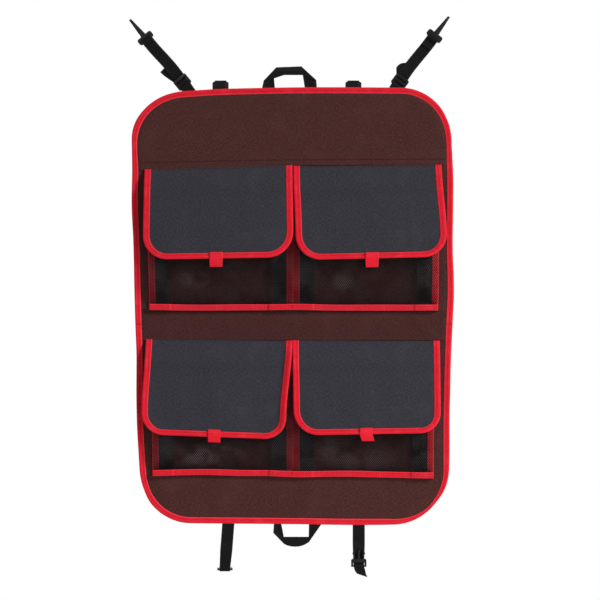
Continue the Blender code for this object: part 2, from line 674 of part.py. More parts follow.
def add_catch(name, x, webbing, plastic):
    """A female side-release buckle hanging behind the top edge on a short webbing loop."""
    edge = (x, EDGE_MIDDLE, HALF_HEIGHT)
    bar = (CATCH_STANDOFF, CATCH_HEIGHT)
    path = [(0.0, GAP), (0.0, 0.35 * CATCH_HEIGHT)]
    path += loop_round(bar, 160, -130)
    add_mesh("buckle_loop_" + name, ribbon(path, WEBBING_WIDTH), webbing, edge)

    pivot = (x, EDGE_MIDDLE + CATCH_STANDOFF, HALF_HEIGHT + CATCH_HEIGHT)
    shoulder = -BAR / 2 - PLUG_SLOT
    outline = chamfered(-FITTING_HALF - 0.0008, -CATCH_LENGTH, FITTING_HALF + 0.0008, BAR / 2, 0.0022)
    catch = frame_plate("female_buckle_" + name, outline, CATCH_THICKNESS, plastic, pivot)
    half_thick = CATCH_THICKNESS
    cut_box(catch, name + "_catch_slot", (-SLOT_HALF, -half_thick, shoulder), (SLOT_HALF, half_thick, -BAR / 2))
    for k, side in enumerate((-1, 1)):
        y_low, y_high = sorted((side * BAR / 2, side * half_thick))
        cut_box(catch, name + "_catch_thin_" + str(k), (-SLOT_HALF - 0.02, y_low, -BAR / 2 - 0.0005),
                (SLOT_HALF + 0.02, y_high, BAR))
    mouth_half = MOUTH_WIDTH / 2
    depth = -CATCH_LENGTH + MOUTH_LENGTH
    cut_box(catch, name + "_catch_mouth", (-mouth_half, -MOUTH_THICKNESS / 2, -CATCH_LENGTH - 0.001),
            (mouth_half, MOUTH_THICKNESS / 2, depth))
    window = -CATCH_LENGTH + 0.45 * MOUTH_LENGTH
    cut_box(catch, name + "_catch_window", (-0.03, -MOUTH_THICKNESS / 2 + 0.0004, window),
            (0.03, MOUTH_THICKNESS / 2 - 0.0004, depth - 0.002))


def add_plug(name, pivot, direction, plastic):
    """A male side-release buckle whose prongs point along direction: 'up' or 'back'."""
    slot_end = BAR / 2 + PLUG_SLOT
    base_end = slot_end + PLUG_BASE
    tip = base_end + PRONG_LENGTH
    half = MOUTH_WIDTH / 2 - 0.0007
    arm = half - PRONG_WIDTH
    wide = FITTING_HALF
    guide = 0.0022
    right = [
        (wide, -BAR / 2), (wide, base_end - 0.002), (wide - 0.002, base_end), (half - BARB, base_end),
        (half - BARB, base_end + 0.45 * PRONG_LENGTH), (half, base_end + 0.5 * PRONG_LENGTH),
        (half - 0.0006, tip - 0.004), (arm, tip), (arm - BARB, tip - 0.002), (arm - BARB, base_end),
        (guide, base_end), (guide, tip - 0.003), (0.4 * guide, tip - 0.0015),
    ]
    outline = right + [(-x, z) for x, z in reversed(right)]
    thick = PLUG_THICKNESS / 2
    flat = loft([[(x, y, z) for x, z in outline] for y in (thick, -thick)])
    slot = box((-SLOT_HALF, -2 * thick, BAR / 2), (SLOT_HALF, 2 * thick, slot_end))
    thin = box((-wide - 0.01, -2 * thick, -BAR), (wide + 0.01, -BAR / 2, BAR / 2 + 0.0004))
    thin_back = box((-wide - 0.01, BAR / 2, -BAR), (wide + 0.01, 2 * thick, BAR / 2 + 0.0004))

    def aimed(mesh_data):
        vertices, faces = mesh_data
        if direction == "back":
            return [(v[0], v[2], -v[1]) for v in map(Vector, vertices)], faces
        return vertices, faces

    plug = add_mesh("male_buckle_" + name, aimed(flat), plastic, pivot)
    for label, tool_mesh in (("slot", slot), ("thin_front", thin), ("thin_back", thin_back)):
        tool = add_mesh(name + "_plug_" + label, aimed(tool_mesh), plastic, pivot)
        add_boolean(plug, tool, "DIFFERENCE")


def add_bottom_straps(webbing, plastic):
    """The two straps below the panel: the left one looped, the right one with a loose tail."""
    edge = -HALF_HEIGHT - WEBBING_ROOT
    drift = -math.tan(STRAP_LEAN)

    bar = (LOOP_RADIUS, -LEFT_STRAP_LENGTH)
    path = [(0.0, 0.0), (0.0, -0.5 * LEFT_STRAP_LENGTH)] + loop_round(bar, 180, 460)
    shifts = [drift * -z for _, z in path]
    pivot = Vector((STRAP_LEFT_X, EDGE_MIDDLE, edge))
    strap = ribbon(path, WEBBING_WIDTH, shifts=shifts, rounded=True)
    add_mesh("bottom_strap_left", strap, webbing, pivot)
    plug_pivot = pivot + Vector((drift * LEFT_STRAP_LENGTH, bar[0], bar[1]))
    add_plug("left", plug_pivot, "back", plastic)

    bar_height = -RIGHT_STRAP_LENGTH
    bar = (-LOOP_RADIUS, bar_height)
    path = [(0.0, 0.0), (0.0, 0.5 * bar_height), (0.0, bar_height + 2.5 * LOOP_RADIUS)]
    path += loop_round(bar, 40, 180)
    path += [(-2 * LOOP_RADIUS, bar_height - PLUG_THICKNESS)]
    path += [(-2.1 * LOOP_RADIUS, bar_height - 0.6 * RIGHT_TAIL), (-2.2 * LOOP_RADIUS, bar_height - RIGHT_TAIL)]
    shifts = [0.0] * (len(path) - 2) + [0.13 * RIGHT_TAIL, 0.3 * RIGHT_TAIL]
    pivot = Vector((STRAP_RIGHT_X, EDGE_MIDDLE, edge))
    strap = ribbon(path, WEBBING_WIDTH, shifts=shifts, rounded=True)
    add_mesh("bottom_strap_right", strap, webbing, pivot)
    add_plug("right", pivot + Vector((0, bar[0], bar[1])), "up", plastic)


def add_handle(name, x, sign, width, height, leg, bridge, webbing):
    """A webbing handle that stands on the panel's edge: two legs and a bridge with folded corners."""
    half = width / 2
    inner = half - leg
    cut, inner_cut = HANDLE_CHAMFER, HANDLE_INNER_CHAMFER
    ledge = height - bridge
    rings = []
    for step in range(-ROOT_STEPS, ROOT_STEPS + 1):
        angle = math.radians(90 * step / ROOT_STEPS)
        low = -HANDLE_THICKNESS / 2 * math.cos(angle)
        outline = [
            (-half, low), (-half, height - cut), (-half + cut, height), (half - cut, height),
            (half, height - cut), (half, low), (inner, low), (inner, ledge - inner_cut),
            (inner - inner_cut, ledge), (-inner + inner_cut, ledge), (-inner, ledge - inner_cut), (-inner, low),
        ]
        depth = HANDLE_THICKNESS / 2 * math.sin(angle)
        rings.append([(px, depth, sign * pz) for px, pz in outline])
    root = HALF_HEIGHT + GAP + HANDLE_THICKNESS / 2
    add_mesh(name, loft(rings), webbing, (x, EDGE_MIDDLE, sign * root))


def build():
    """Clear the scene and make every piece."""
    for obj in list(bpy.data.objects):
        bpy.data.objects.remove(obj)
    brown = make_material("brown_fabric", (0.068, 0.026, 0.022), 0.85)
    slate = make_material("slate_fabric", (0.042, 0.042, 0.052), 0.8)
    red = make_material("red_binding", (0.72, 0.018, 0.03), 0.7)
    mesh_black = make_material("black_mesh", (0.012, 0.011, 0.012), 0.8)
    webbing = make_material("black_webbing", (0.012, 0.012, 0.013), 0.75)
    plastic = make_material("black_plastic", (0.02, 0.019, 0.02), 0.45)
    soft_black = make_material("black_closure", (0.015, 0.015, 0.016), 0.9)

    add_panels(brown, red)
    add_pocket_row("upper", UPPER_HEM_LOW, HEADER_EDGE, red, mesh_black, soft_black)
    add_pocket_row("lower", LOWER_HEM_LOW, BAND_EDGE, red, mesh_black, soft_black)
    for name, side in (("left", -1), ("right", 1)):
        root = HEADER_EDGE + FLAP_LAP
        skew = UPPER_RIGHT_SKEW if name == "right" else 0.0
        add_flap("upper", name, side, root, UPPER_FLAP_DROP, slate, red, soft_black, skew)
        root = BAND_EDGE + FLAP_LAP
        skew = LOWER_LEFT_SKEW if name == "left" else 0.0
        add_flap("lower", name, side, root, LOWER_FLAP_DROP, slate, red, soft_black, skew)
    add_hanger("left", HANGER_LEFT_X, HANGER_LEFT_SPLAY, webbing, plastic)
    add_hanger("right", HANGER_RIGHT_X, HANGER_RIGHT_SPLAY, webbing, plastic)
    add_catch("left", CATCH_LEFT_X, webbing, plastic)
    add_catch("right", CATCH_RIGHT_X, webbing, plastic)
    add_bottom_straps(webbing, plastic)
    add_handle("top_handle", TOP_HANDLE_X, 1, TOP_HANDLE_WIDTH, TOP_HANDLE_HEIGHT,
               TOP_HANDLE_LEG, TOP_HANDLE_BRIDGE, webbing)
    add_handle("bottom_handle", BOTTOM_HANDLE_X, -1, BOTTOM_HANDLE_WIDTH, BOTTOM_HANDLE_HEIGHT,
               BOTTOM_HANDLE_LEG, BOTTOM_HANDLE_BRIDGE, webbing)


build()
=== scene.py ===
import json
import math

import bmesh
import bpy
import numpy as np
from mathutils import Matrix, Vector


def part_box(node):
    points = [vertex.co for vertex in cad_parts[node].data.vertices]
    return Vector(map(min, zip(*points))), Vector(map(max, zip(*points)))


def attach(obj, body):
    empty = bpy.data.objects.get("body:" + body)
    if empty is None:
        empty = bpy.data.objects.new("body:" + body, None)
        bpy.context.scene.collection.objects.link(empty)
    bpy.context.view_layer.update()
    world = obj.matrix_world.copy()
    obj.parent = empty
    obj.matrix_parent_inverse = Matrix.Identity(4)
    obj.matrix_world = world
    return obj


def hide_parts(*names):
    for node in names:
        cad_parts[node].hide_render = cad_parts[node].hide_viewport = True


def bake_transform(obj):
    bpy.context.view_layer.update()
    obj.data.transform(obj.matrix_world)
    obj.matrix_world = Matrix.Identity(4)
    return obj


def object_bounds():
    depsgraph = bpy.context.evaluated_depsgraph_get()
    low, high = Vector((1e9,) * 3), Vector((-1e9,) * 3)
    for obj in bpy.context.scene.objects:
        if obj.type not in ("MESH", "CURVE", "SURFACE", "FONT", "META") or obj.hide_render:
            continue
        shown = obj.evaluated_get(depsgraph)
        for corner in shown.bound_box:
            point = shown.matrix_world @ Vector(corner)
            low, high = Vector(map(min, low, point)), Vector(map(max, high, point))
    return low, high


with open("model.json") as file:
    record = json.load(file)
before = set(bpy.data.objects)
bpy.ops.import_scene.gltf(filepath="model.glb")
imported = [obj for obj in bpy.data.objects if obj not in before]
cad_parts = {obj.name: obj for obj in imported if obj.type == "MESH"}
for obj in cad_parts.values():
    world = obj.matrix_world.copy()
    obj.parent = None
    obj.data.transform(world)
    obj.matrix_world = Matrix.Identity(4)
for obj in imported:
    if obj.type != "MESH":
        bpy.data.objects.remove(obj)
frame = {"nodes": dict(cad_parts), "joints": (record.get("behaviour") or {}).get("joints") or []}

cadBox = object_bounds()
print("frame loaded:", len(frame["nodes"]), "nodes")

# X runs across the panel, Z up it, and the front faces -Y; all sizes are in metres.
joint = {j["name"]: j for j in frame["joints"]}
foldHigh, foldLow = joint["fold_upper"]["pos_m"][2], joint["fold_lower"]["pos_m"][2]
panelHalf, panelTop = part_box("edge_binding_upper")[1].x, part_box("edge_binding_upper")[1].z
panelFront = -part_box("back_panel_upper")[0].y
headerEdge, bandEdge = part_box("header_panel")[0].z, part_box("middle_band_hem")[0].z
spineMiddle = (foldHigh + foldLow) / 2
sideNames = {-1: "left", 1: "right"}
toFront, toBack = (0.0, -1.0, 0.0), (0.0, 1.0, 0.0)


def softLine(places, values):
    # a smooth line through a few points: a cubic between neighbours, sloping at each point as its neighbours do
    p, q = np.array(places, float), np.array(values, float)
    slope = np.gradient(q, p)

    def at(t):
        t = np.clip(t, p[0], p[-1])
        k = np.clip(np.searchsorted(p, t) - 1, 0, len(p) - 2)
        h = p[k + 1] - p[k]
        s = (t - p[k]) / h
        start = (2 * s**3 - 3 * s**2 + 1) * q[k] + (s**3 - 2 * s**2 + s) * h * slope[k]
        return start + (3 * s**2 - 2 * s**3) * q[k + 1] + (s**3 - s**2) * h * slope[k + 1]

    return at


def ease(t):
    # runs from 0 to 1 and flattens at both ends
    t = np.clip(t, 0, 1)
    return t * t * (3 - 2 * t)


def easeFrom(t, span):
    # the same, starting at the span's first value and reaching 1 over its second
    return ease((t - span[0]) / span[1])


def bell(a, b=0.0):
    # 1 in the middle and nothing far off: e to the power of minus the squares
    return np.exp(-a * a - b * b)


def lengthsOf(points):
    # distance run along a line of points
    return np.concatenate([[0.0], np.cumsum(np.linalg.norm(np.diff(points, axis=0), axis=1))])


def unit(vectors):
    return vectors / np.maximum(np.linalg.norm(vectors, axis=-1, keepdims=True), 1e-12)


def crowded(count, edge):
    # places from -1 to 1, closer together near both ends
    t = np.linspace(-1, 1, count)
    return np.sign(t) * (1 - (1 - np.abs(t)) ** edge)


def gridFaces(rowCount, columnCount, around=False):
    # four-sided faces of a grid; column direction crossed with row direction points out
    r = np.arange(rowCount - 1)[:, None]
    c = np.arange(columnCount if around else columnCount - 1)[None, :]
    after = (c + 1) % columnCount
    low, high = r * columnCount, (r + 1) * columnCount
    return np.stack(np.broadcast_arrays(low + c, low + after, high + after, high + c), -1).reshape(-1, 4)


def shellPart(front, back, uv):
    # a sheet with thickness: a front grid, a back grid turned over, and a rim that joins their borders
    rowCount, columnCount = front.shape[:2]
    count = rowCount * columnCount
    faces = gridFaces(rowCount, columnCount)
    along, up = np.arange(columnCount - 1), np.arange(rowCount - 1)
    ring = np.concatenate([along, columnCount - 1 + columnCount * up, count - 1 - along,
                           columnCount * (rowCount - 1 - up)])
    after = np.roll(ring, -1)
    rim = np.stack([after, ring, ring + count, after + count], -1)
    co = np.concatenate([front.reshape(-1, 3), back.reshape(-1, 3)])
    flat = uv.reshape(-1, 2)
    return co, [faces, faces[:, ::-1] + count, rim], np.concatenate([flat, flat]), 0


def tubePart(columns, uvs, finish=0):
    # closed sections along a path, capped at both ends; side crossed with up points along the path
    points, uv = np.stack(columns, 1), np.stack(uvs, 1)
    rowCount, columnCount = points.shape[:2]
    ring = np.arange(columnCount)[None, :]
    faces = [gridFaces(rowCount, columnCount, around=True), ring[:, ::-1], (rowCount - 1) * columnCount + ring]
    return points.reshape(-1, 3), faces, uv.reshape(-1, 2), finish


def uvColumn(run, across):
    return np.stack([run, np.full(len(run), across)], -1)


stitchLook = {"grain": (0.0024, 0.0009, 0.0004), "waist": 0.27}  # a stitch's length, width and height


def stitchPart(line, out, pitch):
    # a row of stitches along a line: grains of thread, each two tips and two rings of four, half sunk in the cloth
    run, size, waist = lengthsOf(line), np.array(stitchLook["grain"]), stitchLook["waist"]
    places = np.arange(pitch / 2, run[-1] - size[0] / 2, pitch)

    def at(where, values):
        return np.stack([np.interp(where, run, values[:, k]) for k in range(3)], -1)

    centre, up = at(places, line), unit(at(places, np.broadcast_to(out, line.shape)))
    along = unit(at(places + size[0] / 2, line) - centre)
    side = unit(np.cross(up, along))
    rings = [(t, s / 2, r) for t in (-waist, waist) for s, r in ((-1, 0), (0, -1), (1, 0), (0, 1))]
    grain = np.array([(-0.5, 0, 0), *rings, (0.5, 0, 0)]) * size
    co = sum(way[:, None] * grain[:, k:k + 1] for k, way in enumerate((along, side, up))) + centre[:, None]
    one, two = np.arange(1, 5), np.arange(5, 9)
    oneAfter, twoAfter = np.roll(one, -1), np.roll(two, -1)
    blocks = (one * 0, oneAfter, one), (one, oneAfter, twoAfter, two), (one * 0 + 9, two, twoAfter)
    base = (10 * np.arange(len(places)))[:, None, None]
    faces = [(np.stack(block, -1) + base).reshape(-1, len(block)) for block in blocks]
    return co.reshape(-1, 3), faces, np.repeat(uvColumn(places, 0.0), 10, axis=0), 1


def linked(name, data):
    obj = bpy.data.objects.new(name, data)
    bpy.context.scene.collection.objects.link(obj)
    return obj


def makePiece(name, parts, good, stands, body=None, crease=None):
    # one object at the origin from several parts, each with its own finish; it rides a body and stands for CAD nodes
    slotName, *finishes = goods[good]
    loops, starts, finishIndex, offset, at = [], [], [], 0, 0
    for co, faceSets, _, finish in parts:
        for faces in faceSets:
            count, corners = faces.shape
            loops.append((faces + offset).ravel())
            starts.append(at + np.arange(count) * corners)
            finishIndex.append(np.full(count, finish))
            at += count * corners
        offset += len(co)
    loops, starts = np.concatenate(loops).astype(np.int32), np.concatenate(starts).astype(np.int32)
    mesh = bpy.data.meshes.new(name)
    mesh.vertices.add(offset)
    mesh.vertices.foreach_set("co", np.concatenate([p[0] for p in parts]).astype(np.float32).ravel())
    mesh.loops.add(len(loops))
    mesh.loops.foreach_set("vertex_index", loops)
    mesh.polygons.add(len(starts))
    mesh.polygons.foreach_set("loop_start", starts)
    mesh.polygons.foreach_set("material_index", np.concatenate(finishIndex).astype(np.int32))
    mesh.update(calc_edges=True)
    uv = np.concatenate([p[2] for p in parts])[loops].astype(np.float32).ravel()
    mesh.uv_layers.new(name="cloth").data.foreach_set("uv", uv)
    for finish in finishes:
        mesh.materials.append(finish)
    mesh.validate()
    mesh.shade_smooth()
    if crease:
        mesh.set_sharp_from_angle(angle=math.radians(crease))
    piece = linked(name, mesh)
    if body:
        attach(piece, body)
    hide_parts(*stands)
    return piece


# Materials
# Each is a Principled shader fed by a few maths and noise nodes, on the piece's own UV map in metres.

def isSocket(value):
    return isinstance(value, bpy.types.NodeSocket)


def addNode(tree, kind, *inputs, output=0, **settings):
    # one node with its settings, and its inputs set or linked in order; gives its output socket
    node = tree.nodes.new("ShaderNode" + kind)
    for key, value in settings.items():
        setattr(node, key, value)
    for socket, value in zip(node.inputs, inputs):
        if isSocket(value):
            tree.links.new(value, socket)
        elif value is not None:
            socket.default_value = value
    return node.outputs[output]


def maths(operation, a, b=None):
    return addNode(a.id_data, "Math", a, b, operation=operation)


def times(a, b):
    return maths("MULTIPLY", a, b)


def plus(a, b):
    return maths("ADD", a, b)


def wave(axis, pitch):
    # a sine along one axis with the given pitch in metres
    return maths("SINE", times(axis, 2 * math.pi / pitch))


def noise(place, size, detail=2.0, roughness=0.5):
    # noise whose patches are about as wide as size, in metres
    return addNode(place.id_data, "TexNoise", place, None, 1 / size, detail, roughness)


def drawnNoise(u, v, shareU, shareV, size, roughness):
    # noise on the cloth's place with each axis scaled, so that it is drawn out along the smaller one
    return noise(addNode(u.id_data, "CombineXYZ", times(u, shareU), times(v, shareV)), size, 1.0, roughness)


def spread(value, low, high, toLow=0.0, toHigh=1.0):
    # maps one range onto another, clamped
    return addNode(value.id_data, "MapRange", value, low, high, toLow, toHigh)


def mixColor(share, low, high):
    low, high = (color if isSocket(color) else (*color, 1) for color in (low, high))
    return addNode(share.id_data, "Mix", share, *[None] * 5, low, high, output=2, data_type="RGBA")


def clothAxes(material):
    # the piece's own UV map, in metres along and across the cloth
    uv = addNode(material.node_tree, "UVMap", uv_map="cloth")
    along = addNode(material.node_tree, "SeparateXYZ", uv)
    return uv, along, along.node.outputs[1]


def objectPlace(material):
    return addNode(material.node_tree, "TexCoord", output=3)


def startFinish(name, roughness, specular, sheen=0.0, sheenRoughness=0.4):
    material = bpy.data.materials.new(name)
    material.use_nodes = True
    values = {"Roughness": roughness, "Specular IOR Level": specular, "Sheen Weight": sheen,
              "Sheen Roughness": sheenRoughness, "Sheen Tint": (1, 1, 1, 1)}
    for key, value in values.items():
        material.node_tree.nodes["Principled BSDF"].inputs[key].default_value = value
    return material


def endFinish(material, color, height, distance, strength, rough=None):
    # links colour, bump and roughness into the shader
    tree = material.node_tree
    shader, bump = tree.nodes["Principled BSDF"], tree.nodes.new("ShaderNodeBump")
    bump.inputs["Distance"].default_value, bump.inputs["Strength"].default_value = distance, strength
    tree.links.new(height, bump.inputs["Height"])
    tree.links.new(bump.outputs[0], shader.inputs["Normal"])
    tree.links.new(color, shader.inputs["Base Color"])
    if rough is not None:
        tree.links.new(rough, shader.inputs["Roughness"])
    return material


weaveLook = {
    "gloss": 0.06, "sheen": (0.02, 0.45), "fibre": 0.8, "fibreRange": (0.3, 0.7), "slub": 0.0010, "draw": 0.22,
    "slubRange": (0.38, 0.62), "shares": (0.2, 0.15, 0.65),  # what the crossings, fibres and slubs each give
    "blotch": 0.05, "rubbed": (0.52, 0.80, 0.0, 0.32), "bump": (0.00012, 0.7), "weaveRange": (-0.7, 0.7),
    "fibreNoise": (3.0, 0.7), "slubNoise": 0.6, "blotchNoise": (3.0, 0.55), "heights": (0.5, 0.6),
    "roughRange": (-0.06, 0.08),  # less and more rough than its roughness
}
wovenCloth = {
    "brown": {"thread": 0.00085, "roughness": 0.82, "dark": (0.0212, 0.0075, 0.0069),
              "light": (0.0850, 0.0291, 0.0256), "worn": (0.0810, 0.0342, 0.0309)},
    # the header and the band are the brown cloth again: the header a little lighter, as painted light, the band darker,
    # as painted shade from the pockets and hems around it
    "header": {"thread": 0.00085, "roughness": 0.82, "dark": (0.0220, 0.0079, 0.0073),
               "light": (0.0880, 0.0303, 0.0270), "worn": (0.0850, 0.0366, 0.0332)},
    "band": {"thread": 0.00085, "roughness": 0.82, "dark": (0.0185, 0.0066, 0.0062),
             "light": (0.0750, 0.0258, 0.0232), "worn": (0.0730, 0.0310, 0.0282)},
    "slate": {"thread": 0.00090, "roughness": 0.80, "dark": (0.0130, 0.0126, 0.0164),
              "light": (0.0480, 0.0455, 0.0572), "worn": (0.0500, 0.0475, 0.0585)},
}


def wovenFinish(name):
    # plain weave: two sines multiplied make the over and under of the threads; noise drawn out along the warp and
    # along the weft varies the shade of single threads
    look, draw, slub = {**weaveLook, **wovenCloth[name]}, weaveLook["draw"], weaveLook["slub"]
    material = startFinish(name + "Weave", look["roughness"], look["gloss"], *look["sheen"])
    uv, u, v = clothAxes(material)
    weave = times(wave(u, 2 * look["thread"]), wave(v, 2 * look["thread"]))
    fibre = noise(uv, look["thread"] * look["fibre"], *look["fibreNoise"])
    warp, weft = (drawnNoise(u, v, *shares, slub, look["slubNoise"]) for shares in ((1.0, draw), (draw, 1.0)))
    slubs = times(plus(warp, weft), 0.5)
    crossing, hairy, uneven = look["shares"]
    share = plus(times(spread(weave, *look["weaveRange"]), crossing), times(spread(fibre, *look["fibreRange"]), hairy))
    share = plus(share, times(spread(slubs, *look["slubRange"]), uneven))
    rubbed = spread(noise(uv, look["blotch"], *look["blotchNoise"]), *look["rubbed"])
    color = mixColor(rubbed, mixColor(share, look["dark"], look["light"]), look["worn"])
    height = plus(*(times(part, share) for part, share in zip((weave, fibre), look["heights"])))
    rough = spread(fibre, *look["fibreRange"], *(look["roughness"] + change for change in look["roughRange"]))
    return endFinish(material, color, height, *look["bump"], rough)


# the selvage's brightness is partly its own paler weave and partly painted highlight where the rounded tape edges catch
# the light
tapeLook = {"rib": 0.0011, "roughness": 0.68, "gloss": 0.06, "sheen": (0.03, 0.35), "bump": (0.00010, 0.7),
            "seams": (), "seamDepth": 0.7, "seamWide": 0.0010, "seamCore": 0.3,  # its sewn lines
            "edge": 0.0012, "edgeSoft": 0.4, "edgeShare": 0.55,  # the selvage: width, soft share of it, brightness
            "fibre": 0.7, "fibreNoise": (3.0, 0.65), "fibreRange": (0.3, 0.7), "shares": (0.35, 0.65),
            "wornNoise": (0.03, 2.0), "worn": (0.5, 0.8, 0.0, 0.35), "cross": (1.7, 0.35), "roughRange": (-0.08, 0.08)}
tapes = {
    "redBindingTape": {"shade": "red", "width": 0.0115, "seams": (0.0016,), "seamDepth": 0.6, "seamWide": 0.0014},
    "redPocketTape": {"shade": "red", "width": 0.0125, "seams": (-0.0021, 0.0021), "seamWide": 0.0014},
    "redTabTape": {"shade": "red", "width": 0.0255, "roughness": 0.66, "rib": 0.0015},
    "blackMouthTape": {"shade": "black", "width": 0.014},
    "blackWebbing": {"shade": "black", "width": 0.020, "roughness": 0.60, "rib": 0.0016, "edge": 0.0018},
}
# the seam colour is painted shade of the stitch grooves
tapeShades = {
    "red": {"plain": (0.740, 0.0160, 0.0330), "deep": (0.530, 0.0080, 0.0190), "bright": (0.860, 0.0560, 0.0820),
            "seam": (0.300, 0.0028, 0.0066)},
    "black": {"plain": (0.0074, 0.0073, 0.0079), "deep": (0.0026, 0.0026, 0.0028),
              "bright": (0.0150, 0.0150, 0.0163), "seam": (0.002, 0.002, 0.0022)},
}


def tapeFinish(name):
    # ribbed tape: ribs across it, a selvage along both edges brightened partly by painted highlight, sewn lines
    # darkened with painted shade, noise on every thread
    look = {**tapeLook, **tapes[name]}
    shade, ribs, edge = tapeShades[look["shade"]], look["rib"], look["edge"]
    material = startFinish(name, look["roughness"], look["gloss"], *look["sheen"])
    uv, u, v = clothAxes(material)
    (ribShare, fibreShare), (crossPitch, crossHeight) = look["shares"], look["cross"]
    rib, fibre = wave(u, ribs), noise(uv, ribs * look["fibre"], *look["fibreNoise"])
    share = plus(times(spread(rib, -1, 1), ribShare), times(fibre, fibreShare))
    # the bright band along both edges: the selvage, and painted highlight of the rounded edges
    fromEdge = look["width"] / 2 - edge
    selvageAndSheen = spread(maths("ABSOLUTE", v), fromEdge, fromEdge + edge * look["edgeSoft"], 0.0, look["edgeShare"])
    worn = maths("MAXIMUM", selvageAndSheen, spread(noise(uv, *look["wornNoise"]), *look["worn"]))
    color = mixColor(worn, mixColor(share, shade["deep"], shade["plain"]), shade["bright"])
    # each sewn line is darkened with painted shade of its stitch groove
    for place in look["seams"]:
        away = maths("ABSOLUTE", maths("SUBTRACT", v, place))
        dark = spread(away, look["seamWide"] * look["seamCore"], look["seamWide"], look["seamDepth"], 0.0)
        color = mixColor(dark, color, shade["seam"])
    height = plus(plus(rib, times(wave(v, ribs * crossPitch), crossHeight)), fibre)
    rough = spread(fibre, *look["fibreRange"], *(look["roughness"] + change for change in look["roughRange"]))
    return endFinish(material, color, height, *look["bump"], rough)


plasticLook = {"color": (0.0022, 0.0022, 0.0024), "pale": (0.009, 0.0089, 0.0095), "grain": 0.0007, "scuff": 0.006,
               "roughness": 0.36, "rough": (0.35, 0.7, 0.26, 0.42), "gloss": 0.24, "scuffNoise": (4.0, 0.7),
               "scuffRange": (0.52, 0.78, 0.0, 0.8), "grainNoise": (2.0, 0.6), "bump": (0.00006, 0.6)}


def plasticFinish():
    # moulded plastic: fine grain from the mould, faint scuffs, and softly varied gloss
    look = plasticLook
    material = startFinish("mouldedPlastic", look["roughness"], look["gloss"])
    place = objectPlace(material)
    scuff, grain = noise(place, look["scuff"], *look["scuffNoise"]), noise(place, look["grain"], *look["grainNoise"])
    color = mixColor(spread(scuff, *look["scuffRange"]), look["color"], look["pale"])
    return endFinish(material, color, grain, *look["bump"], spread(scuff, *look["rough"]))


netLook = {
    "across": 0.00189, "up": 0.00283, "roughness": 0.42, "gloss": 0.06, "patch": 0.045,
    # the first colour is the yarn's own; the second is the painted highlight on the lit slant of strands, the third a
    # brighter painted glare
    "dark": (0.0014, 0.0014, 0.0016), "pale": (0.023, 0.023, 0.025), "rubbed": (0.150, 0.135, 0.138),
    # painted glare patches, where the netting shows paler: middle x and z, reach across and up, how much
    "rubs": [(-0.158, -0.281, 0.072, 0.026, 1.0), (0.120, -0.292, 0.075, 0.026, 0.45),
             (-0.188, 0.049, 0.040, 0.020, 0.42), (0.094, 0.046, 0.024, 0.026, 0.48),
             (-0.235, -0.277, 0.030, 0.030, 0.45), (0.066, -0.275, 0.030, 0.035, 0.40)],
    # where the pleats begin, out from the middle, how much more painted glint their strands carry, and how much painted
    # glare
    "pleats": (0.090, 0.098), "pleatGain": 1.7, "pleatRub": 0.17, "rubGain": 1.15, "rubRange": (0.1, 1.0),
    "slantRange": (-0.2, 0.9), "patchNoise": (3.0, 0.6), "patchRange": (0.42, 0.68, 0.3, 2.4),
    "twist": 0.0006, "yarnNoise": (0.0011, 2.0, 0.6), "bump": (0.00006, 0.5),
    "shift": 200,  # holes from one pocket's stretch of the cloth to the next one's
}


def netFinish():
    # knitted nylon: strands of one slant carry a painted highlight, the others stay dark, by two cosines of the
    # lattice; twist as bump
    look = netLook
    material = startFinish("nettingYarn", look["roughness"], look["gloss"])
    uv, u, v = clothAxes(material)
    a, b = times(u, math.pi / look["across"]), times(v, math.pi / look["up"])
    rising, falling = maths("COSINE", maths("SUBTRACT", a, b)), maths("COSINE", plus(a, b))
    slant = spread(maths("SUBTRACT", rising, falling), *look["slantRange"])
    # noise patches where the painted highlight and the painted glare are stronger
    glintPatches = spread(noise(uv, look["patch"], *look["patchNoise"]), *look["patchRange"])
    fromMiddle = maths("ABSOLUTE", maths("SUBTRACT", u, sectionTable()[1][-1] / 2))
    shine = times(glintPatches, spread(fromMiddle, *look["pleats"], 1.0, look["pleatGain"]))
    color = mixColor(times(slant, shine), look["dark"], look["pale"])
    place = objectPlace(material)
    # painted glare: more in the pleats and at the listed glare places
    rubbed = spread(fromMiddle, *look["pleats"], 0.0, look["pleatRub"])
    for x, z, reachX, reachZ, share in look["rubs"]:
        away = addNode(place.id_data, "VectorMath", place, (x, 0, z), operation="SUBTRACT")
        away = addNode(place.id_data, "VectorMath", away, (1 / reachX, 0, 1 / reachZ), operation="MULTIPLY")
        away = addNode(place.id_data, "VectorMath", away, output=1, operation="LENGTH")
        rubbed = maths("MAXIMUM", rubbed, spread(away, *look["rubRange"], share, 0.0))
    rubbed = times(rubbed, times(glintPatches, look["rubGain"]))
    color = mixColor(times(slant, rubbed), color, look["rubbed"])
    height = plus(wave(plus(u, v), look["twist"]), noise(uv, *look["yarnNoise"]))
    return endFinish(material, color, height, *look["bump"])


closureLook = {"dark": (0.008, 0.008, 0.0085), "pale": (0.032, 0.032, 0.034), "dots": 0.0018,
               "fuzz": (0.0012, 5.0, 0.75), "fuzzShare": 0.3, "range": (0.1, 0.9), "shine": (0.9, 0.1, 0.1, 0.6),
               "bump": (0.0004, 0.8)}
threadLook = {"ply": (0.0006, 2.0), "shine": (0.6, 0.2), "bump": (0.00005, 0.5)}


